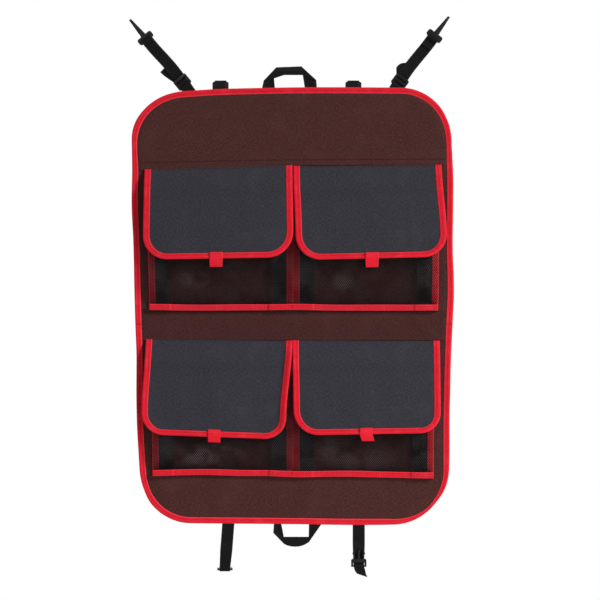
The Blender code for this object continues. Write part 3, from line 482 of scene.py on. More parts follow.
def closureFinish(name, hooked):
    # the hook half is a field of stiff dots, the loop half a brushed fuzz
    look = closureLook
    material = startFinish(name, *look["shine"])
    uv, u, v = clothAxes(material)
    height = fuzz = noise(uv, *look["fuzz"])
    if hooked:
        height = plus(times(wave(u, look["dots"]), wave(v, look["dots"])), times(fuzz, look["fuzzShare"]))
    color = mixColor(spread(height, *look["range"]), look["dark"], look["pale"])
    return endFinish(material, color, height, *look["bump"])


def threadFinish(name, color, pale):
    # sewing thread: twisted plies along each stitch
    material = startFinish(name, *threadLook["shine"])
    ply = noise(objectPlace(material), *threadLook["ply"])
    return endFinish(material, mixColor(ply, color, pale), ply, *threadLook["bump"])


redThread = threadFinish("redThread", (0.60, 0.012, 0.022), (0.86, 0.06, 0.08))
brownThread = threadFinish("brownThread", (0.022, 0.0095, 0.0085), (0.05, 0.022, 0.02))
blackThread = threadFinish("blackThread", (0.005, 0.005, 0.0055), (0.016, 0.016, 0.0175))
webbing = tapeFinish("blackWebbing")
# what the pieces are made of: the CAD slot, then the finish of the goods and of what is sewn on them
goods = {
    "panel": ("brown_fabric", wovenFinish("brown"), brownThread),
    # the header and the band take the lighter and the darker copy of the brown cloth: painted light and painted shade
    "header": ("brown_fabric", wovenFinish("header"), brownThread),
    "band": ("brown_fabric", wovenFinish("band"), brownThread),
    "flap": ("slate_fabric", wovenFinish("slate"), blackThread),
    "binding": ("red_binding", tapeFinish("redBindingTape"), redThread),
    "tape": ("red_binding", tapeFinish("redPocketTape"), redThread),
    "tab": ("red_binding", tapeFinish("redTabTape"), redThread),
    "hooks": ("black_closure", closureFinish("hookPile", True), blackThread),
    "loops": ("black_closure", closureFinish("loopPile", False), blackThread),
    "webbing": ("black_webbing", webbing), "sewnWebbing": ("black_webbing", webbing, blackThread),
    "plastic": ("black_plastic", plasticFinish()),
}
print("finishes made")


# The panel's shape
# Flat places are worked out on a plain rounded rectangle, then drift() moves them to how the cloth hangs.

panelShape = {
    "fill": 0.9,  # a thin foam lining, sewn flat
    "corners": {"upper": ((0.100, 0.095), (0.095, 0.095)), "lower": ((0.100, 0.100), (0.105, 0.103))},
    # half widths by height, to the edge on the left and right, and the plainer ones that the sewn pockets follow
    "leftHalf": ((-0.41, -0.33, -0.282, -0.225, -0.17, -0.09, -0.03, 0.03, 0.12, 0.19, 0.256, 0.33, 0.41),
                 (0.2880, 0.2886, 0.2913, 0.2945, 0.2957, 0.2955, 0.2977, 0.2994, 0.3014, 0.3045, 0.3036, 0.3046,
                  0.3046)),
    "rightHalf": ((-0.41, -0.33, -0.27, -0.21, -0.165, -0.12, -0.03, 0.03, 0.058, 0.09, 0.20, 0.24, 0.284, 0.34, 0.41),
                  (0.2940, 0.2945, 0.2956, 0.2956, 0.2968, 0.2976, 0.3015, 0.3040, 0.3034, 0.3019, 0.3025, 0.3026,
                   0.3006, 0.2981, 0.2965)),
    "leftSewn": ((-0.41, -0.12, 0.03, 0.20, 0.41), (0.2895, 0.2945, 0.2986, 0.3035, 0.3035)),
    "rightSewn": ((-0.41, -0.20, 0.03, 0.25, 0.41), (0.2912, 0.2926, 0.3016, 0.3010, 0.2975)),
    "topLine": ((-0.30, -0.21, -0.15, -0.05, 0.30), (-0.005, -0.0056, -0.0020, 0.0008, 0.0008)),
    "bottomLine": ((-0.30, -0.12, 0.0, 0.14, 0.30), (0.0, -0.0016, -0.0026, -0.0042, -0.0014)),
    "sewnTo": (0.275, 0.02), "topBend": (0.22, 0.19), "bottomBend": (0.30, 0.11),  # where each starts, and over how far
    "edgeSquash": 0.7, "squash": (0.014, 0.004), "edgeRadius": 0.097, "inset": 0.0015,
    # the free side edges: where they start to wave, how far, how fast up the panel, and the phase left and right
    "waveFrom": (0.24, 0.06), "edgeWave": 0.0011, "waveRuns": (24, 7), "wavePhase": (0.2, 1.3),
    # two slow waves over the whole cloth: height, how fast they run across and up, and phase
    "slowWaves": ((0.0004, 21, 17, 0.6), (0.0003, 9, 13, 0.0)),
    "rowStep": 0.006, "cornerSteps": 18, "columns": 96, "foldSoftness": 0.005,  # half the height that bends at a fold
    # the stitches on the back: rises above the hem and half lengths, the top seam's rise, the uprights and their ends
    "backAcross": ((0.0041, 0.272), (0.0083, 0.272)), "backTop": {"upper": 0.017, "lower": 0.0055}, "backHalf": 0.286,
    "backUpright": (-0.2714, -0.2621, -0.0109, -0.0016, 0.0016, 0.0109, 0.2621, 0.2714), "backEnds": (0.014, 0.005),
    "backPitch": 0.0033, "backSteps": 80, "topSteps": 82, "crowd": 1.35,
}
hanging = {name: softLine(*panelShape[name])
           for name in ("leftHalf", "rightHalf", "leftSewn", "rightSewn", "topLine", "bottomLine")}

# soft ridges in the cloth: middle x and z, angle in degrees from upright, half width, half length, height
ridges = [
    (-0.256, -0.340, -22, 0.010, 0.024, 0.0013), (-0.157, -0.338, 75, 0.014, 0.040, 0.0010),
    (-0.138, -0.370, 38, 0.013, 0.034, 0.0016), (0.027, -0.366, 33, 0.012, 0.042, 0.0016),
    (0.094, -0.373, 30, 0.010, 0.028, 0.0011), (0.200, -0.336, 10, 0.012, 0.022, 0.0008),
    (-0.205, -0.372, 60, 0.016, 0.030, 0.0007), (0.180, -0.384, 70, 0.014, 0.040, 0.0007),
    (-0.120, 0.372, 80, 0.020, 0.090, 0.0007), (0.150, 0.345, 96, 0.022, 0.070, 0.0006),
    (-0.230, 0.310, 25, 0.018, 0.040, 0.0007), (0.236, 0.300, -28, 0.018, 0.045, 0.0008),
    (-0.150, -0.034, 84, 0.010, 0.110, 0.0006), (0.140, -0.040, 97, 0.010, 0.090, 0.0006),
    (0.238, -0.032, -52, 0.009, 0.030, 0.0016), (0.178, -0.040, -40, 0.010, 0.020, 0.0009),
    (-0.140, -0.352, 20, 0.022, 0.034, 0.0016), (0.020, -0.336, -30, 0.009, 0.020, 0.0012),
    (-0.286, 0.120, 4, 0.006, 0.060, 0.0009), (0.283, 0.030, -3, 0.006, 0.080, 0.0009),
    (0.279, -0.230, 3, 0.006, 0.060, 0.0010), (-0.277, -0.190, -4, 0.006, 0.050, 0.0008),
]


def relief(x, z):
    # height of the cloth's soft ridges: each is a bell across and along its own line, over two slow waves
    (high, fastX, fastZ, phase), (slantHigh, slantX, slantZ, _) = panelShape["slowWaves"]
    total = high * np.sin(x * fastX + phase) * np.cos(z * fastZ) + slantHigh * np.sin(x * slantX - z * slantZ)
    for middleX, middleZ, angle, halfWide, halfLong, high in ridges:
        s, c = math.sin(math.radians(angle)), math.cos(math.radians(angle))
        dx, dz = x - middleX, z - middleZ
        total = total + high * bell((dx * c - dz * s) / halfWide, (dx * s + dz * c) / halfLong)
    return total


def drift(x, z):
    # scales each side to its hanging half width and bends the top and bottom edges
    half = np.where(x < 0, hanging["leftHalf"](z), hanging["rightHalf"](z))
    sewn = np.where(x < 0, hanging["leftSewn"](z), hanging["rightSewn"](z))
    half = sewn + (half - sewn) * easeFrom(np.abs(x), panelShape["sewnTo"])
    rise = hanging["topLine"](x) * easeFrom(z, panelShape["topBend"])
    rise = rise + hanging["bottomLine"](x) * easeFrom(-z, panelShape["bottomBend"])
    return x * half / panelHalf, z + rise


def edgeDistance(x, z):
    # how far a flat place lies inside the rounded rectangle
    radius = panelShape["edgeRadius"]
    qx, qz = np.abs(x) - (panelHalf - radius), np.abs(z) - (panelTop - radius)
    outside = np.hypot(np.maximum(qx, 0), np.maximum(qz, 0))
    return radius - outside - np.minimum(np.maximum(qx, qz), 0)


def onPanel(x, z, depth, squeeze=True):
    # a flat place at a depth in front of the back face, put where the hanging cloth has it: the relief grows towards
    # the front, and the free side edges wave a little to the front and to the back
    x, z, depth = np.broadcast_arrays(np.asarray(x, float), np.asarray(z, float), np.asarray(depth, float))
    front = np.clip(depth / panelFront, 0, 1)
    if squeeze:
        middle = panelFront / 2
        reach, over = panelShape["squash"]
        held = 1 - (1 - panelShape["edgeSquash"]) * ease((reach - edgeDistance(x, z)) / over)
        depth = np.where(depth <= panelFront, middle + (depth - middle) * held, depth)
    (left, right), (fast, slow) = panelShape["wavePhase"], panelShape["waveRuns"]
    side = easeFrom(np.abs(x), panelShape["waveFrom"])
    curl = side * panelShape["edgeWave"] * np.sin(z * fast + np.where(x > 0, right, left)) * np.cos(z * slow)
    driftX, driftZ = drift(x, z)
    return np.stack([driftX, curl - depth - relief(x, z) * front, driftZ], -1)


def seamPart(x, z, depth, pitch, facing=toFront, squeeze=True):
    # stitches along a line of flat places on the panel
    return stitchPart(onPanel(x, z, depth, squeeze), facing, pitch)


def sidePath(part, side, inset, low):
    # one side of the flat outline from the height low to the corner, then round the corner to the top edge
    reachX, reachZ = panelShape["corners"][part][side > 0]
    centreX, centreZ = panelHalf - reachX, panelTop - reachZ
    count = int(round((centreZ - low) / panelShape["rowStep"]))
    angle = np.linspace(0, math.pi / 2, panelShape["cornerSteps"] + 1)
    x = np.concatenate([np.full(count, panelHalf - inset), centreX + (reachX - inset) * np.cos(angle)])
    z = np.concatenate([low + (centreZ - low) * np.arange(count) / count,
                        centreZ + (reachZ - inset) * np.sin(angle)])
    return side * x, z


def panelRows(part, inset, low):
    # a grid over one half of the panel: each row runs straight between the two side paths
    left, right = np.array(sidePath(part, -1, inset, low)), np.array(sidePath(part, 1, inset, low))
    count = min(left.shape[1], right.shape[1])
    left, right = (path[:, np.round(np.linspace(0, path.shape[1] - 1, count)).astype(int)] for path in (left, right))
    across = (crowded(panelShape["columns"], panelShape["crowd"]) + 1) / 2
    return left[..., None] * (1 - across) + right[..., None] * across


def edgePath(part, inset, low):
    # the whole flat edge path of one half at an inset: up the left side, along the top and down the right side
    left, right = np.array(sidePath(part, -1, inset, low)), np.array(sidePath(part, 1, inset, low))
    t = np.linspace(0, 1, panelShape["topSteps"])[1:-1]
    x, z = np.concatenate([left, left[:, -1:] * (1 - t) + right[:, -1:] * t, right[:, ::-1]], axis=1)
    return (x, z) if part == "upper" else (x[::-1], -z[::-1])


def backSeams(part):
    # where the front's tapes, hems and bands are sewn through: the ends of each row of stitches
    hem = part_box("pocket_hem_" + part)[0].z
    top = headerEdge if part == "upper" else bandEdge
    across = [(hem + rise, half) for rise, half in panelShape["backAcross"]]
    across.append((top + panelShape["backTop"][part], panelShape["backHalf"]))
    above, under = panelShape["backEnds"]
    return [((-x, z), (x, z)) for z, x in across] + [
        ((x, hem + above), (x, top - under)) for x in panelShape["backUpright"]]


def blendAtFold(piece):
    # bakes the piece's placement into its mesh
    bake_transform(piece)


def addPanel(part):
    # the padded panel from the middle of the spine to one end
    upper = part == "upper"
    x, z = panelRows(part, panelShape["inset"], spineMiddle if upper else -spineMiddle)
    x, z = (x, z) if upper else (x[::-1], -z[::-1])
    parts = [shellPart(onPanel(x, z, panelFront), onPanel(x, z, 0.0), np.stack([x, z], -1))]
    for start, end in backSeams(part):
        places = np.linspace(start, end, panelShape["backSteps"])
        parts.append(seamPart(*places.T, 0.0, panelShape["backPitch"], toBack))
    stands = ["back_panel_upper", "back_panel_spine"] if upper else ["back_panel_lower"]
    piece = makePiece("panel_" + part, parts, "panel", stands)
    blendAtFold(piece)


bindingLook = {
    # the folded tape's section: inset from the panel's edge and depth from its back face, in millimetres
    "section": [(11.8, 4.10), (11.2, 4.48), (9.2, 4.62), (7.1, 4.12), (5.4, 4.75), (3.6, 4.90), (1.9, 4.75),
                (0.8, 4.25), (0.2, 3.2), (0.1, 1.0), (0.8, 0.25), (2.4, -0.05), (5.4, -0.14), (7.1, 0.05),
                (11.4, -0.10), (11.4, 0.45), (6.5, 0.45), (2.0, 0.6), (1.0, 1.2), (1.0, 2.5), (2.0, 3.3), (6.5, 3.6),
                (11.8, 3.70)],
    "width": 0.011, "pucker": 0.00022, "stitchInset": 0.0071, "pitch": 0.0034,
    "stitches": ((0.00405, toFront), (0.0, toBack)),  # depth and the way they face
    # where the tape's width departs from its section: middle x and z, reach across and up, share it changes by
    "widths": [(0.272, -0.384, 0.055, 0.055, -0.52), (0.30, -0.22, 0.05, 0.13, -0.03),
               (0.30, 0.297, 0.05, 0.028, -0.13), (-0.30, 0.297, 0.05, 0.028, -0.18),
               (-0.29, -0.33, 0.05, 0.04, 0.13)],
}


def bindingPath(part, inset, low):
    # the edge path at an inset, which follows the tape's changing width
    x, z = edgePath(part, inset, low)
    thinX, thinZ = edgePath(part, inset / 2, low)
    share = sum(change * bell((x - middleX) / reachX, (z - middleZ) / reachZ)
                for middleX, middleZ, reachX, reachZ, change in bindingLook["widths"])
    return x - (thinX - x) * share * 2, z - (thinZ - z) * share * 2


puckerLook = {"slant": 1.3, "runs": (430, 97, 211), "share": 0.6}


def pucker(x, z, size):
    # the small unevenness that sewing leaves along a tape: a fine wave that comes and goes, and a coarser one
    run, (fine, beat, coarse) = x + z * puckerLook["slant"], puckerLook["runs"]
    waves = np.sin(run * fine) * np.sin(run * beat + 1) + puckerLook["share"] * np.sin(run * coarse + 2)
    return size * waves


def addEdgeBinding(part):
    # red tape folded round the edge, with a stitched line on the front and on the back
    low = spineMiddle if part == "upper" else -spineMiddle
    columns, uvs = [], []
    for inset, depth in bindingLook["section"]:
        x, z = bindingPath(part, inset / 1000, low)
        uneven = pucker(x, z, bindingLook["pucker"]) * (1 if depth > 2 else -1)
        columns.append(onPanel(x, z, depth / 1000 + uneven, squeeze=False))
        uvs.append(uvColumn(lengthsOf(columns[0]), inset / 1000 - bindingLook["width"] / 2))
    path = bindingPath(part, bindingLook["stitchInset"], low)
    parts = [tubePart(columns, uvs)]
    parts += [seamPart(*path, depth, bindingLook["pitch"], facing, False) for depth, facing in bindingLook["stitches"]]
    names = ("upper", "spine_left", "spine_right") if part == "upper" else ("lower",)
    piece = makePiece("binding_" + part, parts, "binding", ["edge_binding_" + name for name in names])
    blendAtFold(piece)


for part in ("upper", "lower"):
    addPanel(part)
    addEdgeBinding(part)
print("panel and edge binding made")

headerLook = {
    "edge": ((-0.30, -0.14, 0.0, 0.15, 0.30), (-0.0015, 0.0025, 0.0070, 0.0080, 0.0085)),  # rise of the hem's fold
    "stitch": ((-0.30, 0.0, 0.30), (0.0130, 0.0175, 0.0190)),  # the seam above the header's own lower edge
    "inset": 0.0085, "gap": 0.0003, "thick": 0.0009, "hemThick": 0.00055, "fineRows": 0.032, "grooveDepth": 0.0011,
    "grooveWide": 0.0014, "hemStep": 0.0015, "roll": 0.0014, "riseOver": 0.05,
    "tuck": 0.0118,  # how far in from the edge the header and the band come out from under the binding
    "seamInset": 0.0135, "pitch": 0.0032, "sink": 0.0005, "under": 0.0002, "tuckOver": 0.003, "rollShare": 0.8,
    "fineCount": 46, "seamPoints": 120,
}
bandLook = {"rows": 30, "thick": 0.0012, "hemThick": 0.0005, "roll": 0.0012, "seam": 0.0055, "dip": 0.0004,
            "dipWide": 0.0016, "soft": 0.003, "belowFold": 0.0004, "topRoll": 0.0014, "under": 0.00006,
            "seamDepth": 0.0013, "crowd": 1.2,
            # thin beside the upper fold, where the pocket hem comes down on it when the organizer is folded
            "thinFrom": 0.015, "thinOver": 0.006, "thinDepth": 0.0003}
headerLine, headerSeam = softLine(*headerLook["edge"]), softLine(*headerLook["stitch"])


def tucked(x, z, depth):
    # a layer on the panel, pressed down where it runs under the binding
    flat, span = panelFront + headerLook["under"], (headerLook["tuck"], headerLook["tuckOver"])
    return onPanel(x, z, flat + (depth - flat) * easeFrom(edgeDistance(x, z), span))


def addHeader():
    # the brown header: its hem is folded up inside, so it is thicker below the seam and dips along it
    look = headerLook
    x, z = panelRows("upper", look["inset"], headerEdge)
    above = z[:, 0] > headerEdge + look["fineRows"]
    fine = headerEdge + np.linspace(0, look["fineRows"], look["fineCount"])[:, None] + 0 * x[:1]
    x, z = np.concatenate([0 * fine + x[:1], x[above]]), np.concatenate([fine, z[above]])
    z = z + headerLine(x) * (1 - ease(np.clip((z - headerEdge) / look["riseOver"], 0, 1)))
    seam = headerEdge + headerSeam(x)
    roll = ease((headerEdge + headerLine(x) + look["roll"] - z) / look["roll"])
    face = panelFront + look["gap"] + look["thick"]
    depth = face + look["hemThick"] * (ease((seam - z) / look["hemStep"]) - look["rollShare"] * roll)
    depth = depth - look["grooveDepth"] * bell((z - seam) / look["grooveWide"])
    parts = [shellPart(tucked(x, z, depth), onPanel(x, z, panelFront + look["gap"] / 5), np.stack([x, z], -1))]
    end = panelHalf - look["seamInset"]
    seamX = np.linspace(-end, end, look["seamPoints"])
    parts.append(seamPart(seamX, headerEdge + headerSeam(seamX), face - look["sink"], look["pitch"]))
    piece = makePiece("header", parts, "header", ["header_panel"], "upper_half")


def addBand():
    # the plain band across the spine, with a sewn lower edge under the lower flaps
    look = bandLook
    x = np.tile(crowded(panelShape["columns"], look["crowd"]) * (panelHalf - headerLook["inset"]), (look["rows"], 1))
    z = np.linspace(bandEdge, foldHigh - look["belowFold"], look["rows"])[:, None] + 0 * x
    roll = ease((bandEdge + look["roll"] - z) / look["roll"]) + ease((z - foldHigh + look["topRoll"]) / look["roll"])
    depth = look["thick"] + look["hemThick"] * (1 - roll)
    depth = depth - look["dip"] * bell((z - bandEdge - look["seam"]) / look["dipWide"])
    thin = ease((z - foldHigh + look["thinFrom"]) / look["thinOver"])
    depth = panelFront + depth * (1 - thin) + look["thinDepth"] * thin
    parts = [shellPart(tucked(x, z, depth), onPanel(x, z, panelFront + look["under"]), np.stack([x, z], -1))]
    end = panelHalf - headerLook["seamInset"]
    seamX = np.linspace(-end, end, headerLook["seamPoints"])
    parts.append(seamPart(seamX, bandEdge + look["seam"], panelFront + look["seamDepth"], headerLook["pitch"]))
    piece = makePiece("spine_band", parts, "band", ["middle_band", "middle_band_hem"])
    blendAtFold(piece)


addHeader()
addBand()
print("header and band made")


# Pockets
# A pocket's netting is flat in a, across its unfolded width, and in b, up from the bottom seam.

pocketLook = {
    "outer": 0.271, "inner": 0.002, "tapeOuter": 0.273, "tape": 0.0125, "tapeThick": 0.0007, "tapeBack": 0.0014,
    "tapeGap": 0.0002, "tapeTop": 0.004, "mouthStep": 0.0022, "mouthDown": 0.001, "mouthMiddle": 0.004,
    "seamDepth": 0.0050, "seamMiddle": 0.0030, "belly": 0.0150, "mouth": 0.0100, "crown": 0.0012, "flange": 0.0007,
    "hole": 0.74, "thick": 0.0006, "seamRise": 0.0012, "pitch": 0.0033,
    # the front's own part of the width, and of the section; how far up the seam holds it in, and the hem lifts it
    "central": (0.036, 0.012), "frontShare": (0.97, 0.03), "seamOver": 0.034, "liftOver": 0.075,
    "hollow": (0.0021, 37, 61), "sag": (0.0022, 0.44, 0.17),  # depth and how fast they run; depth, middle and reach
    # how the front leaves the seam and comes back to the mouth: rises, and depth shares
    "rises": (0.018, 0.044, 0.6, 0.054, 0.03), "shares": (0.6, 0.85),
    "mouthTape": [(-0.0075, 0.00055), (0.0, 0.00055), (0.0005, 0.0), (0.0, -0.00055), (-0.0075, -0.00055)],
    # a pocket's section from its sewn edge to its middle: distance from the edge, share of the full depth
    "section": [(0.0, 0.0), (0.0115, 0.0), (0.0380, 0.40), (0.0392, 0.44), (0.0396, 0.50), (0.0392, 0.56),
                (0.0380, 0.60), (0.0002, 0.90), (-0.0010, 0.94), (-0.0014, 0.97), (-0.0008, 0.995), (0.0008, 1.0),
                (0.0400, 1.0)],
}
# each row of pockets: its body and heights, the phase of its hollows, and how its bottom hem lifts across
rows = {
    "upper": {"body": "upper_half", "band": headerEdge, "phase": 0.3,
              "lift": softLine((-0.27, -0.21, -0.13, -0.05, 0.013, 0.06, 0.12, 0.27),
                               (0.0014, 0.0002, 0.0002, 0.0008, 0.0013, 0.0002, -0.0001, 0.0002))},
    "lower": {"body": "lower_half", "band": bandEdge, "phase": 1.7,
              "lift": softLine((-0.27, -0.175, -0.10, -0.05, 0.0, 0.089, 0.164, 0.25),
                               (0.0034, 0.0054, 0.0037, 0.0035, 0.0016, 0.0024, 0.0012, -0.0008))},
}
pocketWidth = pocketLook["outer"] - pocketLook["inner"]
for rowName, row in rows.items():
    row["hemLow"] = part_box("pocket_hem_" + rowName)[0].z
    row["bottom"] = row["hemLow"] + pocketLook["seamRise"]
    row["height"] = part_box("mesh_pocket_" + rowName + "_left")[1].z - row["bottom"]


def sectionTable():
    # the whole section with its run along the cloth
    half = np.array([*pocketLook["section"], (pocketWidth / 2, 1.0)])
    full = np.concatenate([half, (half * (-1, 1) + (pocketWidth, 0))[-2::-1]])
    return full, lengthsOf(full * (1, pocketLook["belly"]))


def pocketDepth(height, b):
    # depth of the front over the panel: from the seam out to the belly and back a little to the mouth
    hem, seam, belly, mouth = hemLook["height"], pocketLook["seamDepth"], pocketLook["belly"], pocketLook["mouth"]
    (out, full, middle, back, near), (outShare, backShare) = pocketLook["rises"], pocketLook["shares"]
    return softLine((0, hem, hem + out, hem + full, middle * height, height - back, height - near, height),
                    (seam, seam, seam + outShare * (belly - seam), belly, belly, backShare * belly, mouth, mouth))(b)


def pocketPlace(rowName, side, a, b):
    # a point of the netting: the section at height b, with a crown across the front and soft hollows in it
    row, flange = rows[rowName], pocketLook["flange"]
    low = -pocketLook["outer"] if side < 0 else pocketLook["inner"]
    full, run = sectionTable()
    x, share = np.interp(a, run, full[:, 0]), np.interp(a, run, full[:, 1])
    up = b / row["height"]
    central = easeFrom(np.minimum(x, pocketWidth - x), pocketLook["central"])
    central = central * easeFrom(share, pocketLook["frontShare"])
    held = ease(1 - b / pocketLook["seamOver"])
    depth = pocketDepth(row["height"], b)
    depth = depth - central * held * (pocketLook["seamDepth"] - pocketLook["seamMiddle"])
    crown = pocketLook["crown"] * (1 - (2 * x / pocketWidth - 1) ** 2)
    (deep, fastX, fastB), (sag, sagMiddle, sagReach) = pocketLook["hollow"], pocketLook["sag"]
    hollow = deep * (1 + np.sin(x * fastX + b * fastB + row["phase"] + side)) * np.sin(np.clip(up, 0, 1) * math.pi)
    hollow = hollow + sag * bell((up - sagMiddle) / sagReach)
    out = flange + (depth + share * (crown - central * hollow) - flange) * share
    lift = row["lift"](low + x) * (1 - ease(b / pocketLook["liftOver"]))
    return onPanel(low + x, row["bottom"] + b + lift, panelFront + out)


def addNetting(rowName, side):
    # knitted netting: diamond holes in staggered rows; each strand has a ridge on both faces and thins to its holes
    name, size = rowName + "_" + sideNames[side], (netLook["across"], netLook["up"])
    extent = (sectionTable()[1][-1], rows[rowName]["height"])
    acrossCount, upCount = (int(length / cell) // 2 * 2 for length, cell in zip(extent, size))
    step = np.array([extent[0] / acrossCount, extent[1] / upCount])
    i, j = np.meshgrid(np.arange(acrossCount + 1), np.arange(upCount + 1), indexing="ij")
    knot = (i + j) % 2 == 0
    hole = ~knot & (i > 0) & (i < acrossCount) & (j > 0) & (j < upCount)
    index = np.full(i.shape, -1)
    index[knot] = np.arange(knot.sum())
    around = np.array([(-1, 0), (0, -1), (1, 0), (0, 1)])
    holes, knotCells = np.stack([i[hole], j[hole]], -1), np.stack([i[knot], j[knot]], -1)
    corners = index[tuple((holes[:, None] + around).transpose(2, 0, 1))]
    rimCells = (holes[:, None] + around * pocketLook["hole"]).reshape(-1, 2)

    def place(cells, moveA=0.0, moveB=0.0):
        return pocketPlace(rowName, side, cells[:, 0] * step[0] + moveA, cells[:, 1] * step[1] + moveB)

    knots, small = place(knotCells), 0.0004
    out = unit(np.cross(place(knotCells, small) - place(knotCells, -small),
                        place(knotCells, 0, small) - place(knotCells, 0, -small))) * pocketLook["thick"] / 2
    co = np.concatenate([knots + out, knots - out, place(rimCells)])
    count = len(knots)
    rim = 2 * count + np.arange(4 * len(holes)).reshape(-1, 4)
    after, rimAfter = np.roll(corners, -1, 1), np.roll(rim, -1, 1)
    edges = np.stack([corners, after], -1).reshape(-1, 2)
    _, first, seen = np.unique(np.sort(edges, 1) @ (count, 1), return_index=True, return_counts=True)
    one, two = edges[first[seen == 1]].T  # the netting's own border, closed from the front ridge to the back one
    faces = [np.stack([corners, after, rimAfter, rim], -1).reshape(-1, 4),
             np.stack([after + count, corners + count, rim, rimAfter], -1).reshape(-1, 4),
             np.stack([two, one, one + count, two + count], -1)]
    # each pocket takes its own stretch of the cloth
    along = (0, netLook["shift"] * (side + 1 + (rowName == "lower")))
    uv = (np.concatenate([knotCells, knotCells, rimCells]) + along) * size
    used = np.unique(np.concatenate([corners.ravel(), one, two]))
    keep = np.zeros(len(co), bool)
    keep[used] = keep[used + count] = keep[2 * count:] = True
    renumber = np.cumsum(keep) - 1
    parts = [(co[keep], [renumber[f] for f in faces], uv[keep], 0), mouthTape(rowName, side, *extent)]
    piece = makePiece("netting_" + name, parts, "netting", ["mesh_pocket_" + name], rows[rowName]["body"])
    return piece, extent


def mouthTape(rowName, side, run, height):
    # black tape folded over the netting's top edge, all along the section with its pleats
    a = np.concatenate([np.arange(0, run, pocketLook["mouthStep"]), [run]])
    centre = pocketPlace(rowName, side, a, np.full(len(a), height - pocketLook["mouthDown"]))
    out = unit(np.cross(np.gradient(centre, axis=0), (0.0, 0.0, 1.0)))
    section = pocketLook["mouthTape"][::-1]
    columns = [pocketPlace(rowName, side, a, np.full(len(a), height + rise)) + out * off for rise, off in section]
    return tubePart(columns, [uvColumn(a, rise + pocketLook["mouthMiddle"]) for rise, _ in section], 1)


sewnLook = {"edge": 0.0016, "round": 0.0012, "rimShare": 0.35, "uneven": (0.00012, 300, 83, 99), "groove": 0.00022,
            "grooveWide": 0.0006, "columns": (0.0003, 0.0015, 3), "rows": 60, "sink": 0.0001}


def sewnTape(x0, x1, z0, z1, back, thick):
    # a flat tape on the panel with rounded edges and a stitched line beside each edge
    look = sewnLook
    rim, flat, count = look["columns"]
    across = [x0, x0 + rim, *np.linspace(x0 + flat, x1 - flat, count), x1 - rim, x1]
    along = np.linspace(z0, z1, look["rows"])
    x, z = np.meshgrid(across, along)
    side = np.minimum(x - x0, x1 - x)
    rounded = thick * (look["rimShare"] + (1 - look["rimShare"]) * ease(side / look["round"]))
    size, fine, beat, shift = look["uneven"]
    uneven = size * np.sin(z * fine + x0 * shift) * np.sin(z * beat)
    groove = look["groove"] * bell((side - look["edge"]) / look["grooveWide"])
    front, rear = onPanel(x, z, back + rounded + uneven - groove), onPanel(x, z, back)
    return [shellPart(front, rear, np.stack([z, x - (x0 + x1) / 2], -1))] + [
        seamPart(place, along, back + thick - look["sink"], pocketLook["pitch"])
        for place in (x0 + look["edge"], x1 - look["edge"])]


def addSideTapes(rowName):
    # red tapes over the sewn edges of the netting; the middle one is two tapes side by side
    row, tape, outer = rows[rowName], pocketLook["tape"], pocketLook["tapeOuter"]
    gap = pocketLook["tapeGap"]
    spans = {"left": [(-outer, tape - outer)], "middle": [(-tape, -gap), (gap, tape)],
             "right": [(outer - tape, outer)]}
    for name, pairs in spans.items():
        parts = []
        for x0, x1 in pairs:
            low = row["bottom"] + max(row["lift"]((x0 + x1) / 2), 0.0)
            parts += sewnTape(x0, x1, low, row["band"] - pocketLook["tapeTop"], panelFront + pocketLook["tapeBack"],
                              pocketLook["tapeThick"])
        makePiece("tape_" + rowName + "_" + name, parts, "tape", ["side_tape_" + rowName + "_" + name], row["body"])


hemLook = {
    "height": 0.0124, "share": 0.905, "ends": (-0.273, 0.2722), "depth": 0.0086, "seams": (0.0041, 0.0083),
    # where it steps up over the pleats, left and right of the middle; where two tapes join, and how deep the gap is
    "steps": ((-0.2322, -0.0467), (0.0378, 0.2285)), "join": -0.0026, "joinDepth": 0.0016, "overlap": 0.0004,
    "stepOver": 0.004, "back": 0.0001, "joinWide": 0.0008, "lap": (0.002, 0.003), "groove": (0.0003, 0.9),
    "bow": (0.0002, 47), "uneven": (0.00015, 700, 61), "sink": 0.0001,  # height, and how fast they run
    "columns": 260, "atStep": (0.003, 9), "atJoin": (0.002, 11),  # how far about each, and how many columns
    # its section: share of its depth, and rise in millimetres
    "section": [(0.15, -0.06), (0.55, -0.06), (0.80, 0.10), (0.96, 0.5), (1.0, 1.4), (1.0, 3.0), (1.0, 4.1),
                (1.0, 5.2), (1.0, 7.2), (1.0, 8.3), (1.0, 9.4), (1.0, 11.4), (0.98, 12.3), (0.90, 12.4),
                (0.87, 11.8), (0.87, 6.0), (0.86, 2.2), (0.72, 1.2), (0.4, 0.9), (0.1, 0.9)],
}


def hemStep(x):
    # the hem stands further out over the folded pleats than over the single netting between them
    steps = np.abs(hemLook["steps"])
    inner, outer = np.where(x < 0, steps[0, 1], steps[1, 0]), np.where(x < 0, steps[0, 0], steps[1, 1])
    over = ease((np.abs(x) - inner) / hemLook["stepOver"] + 0.5) * ease((outer - np.abs(x)) / hemLook["stepOver"] + 0.5)
    return hemLook["back"] + over * (pocketLook["seamDepth"] - pocketLook["seamMiddle"])


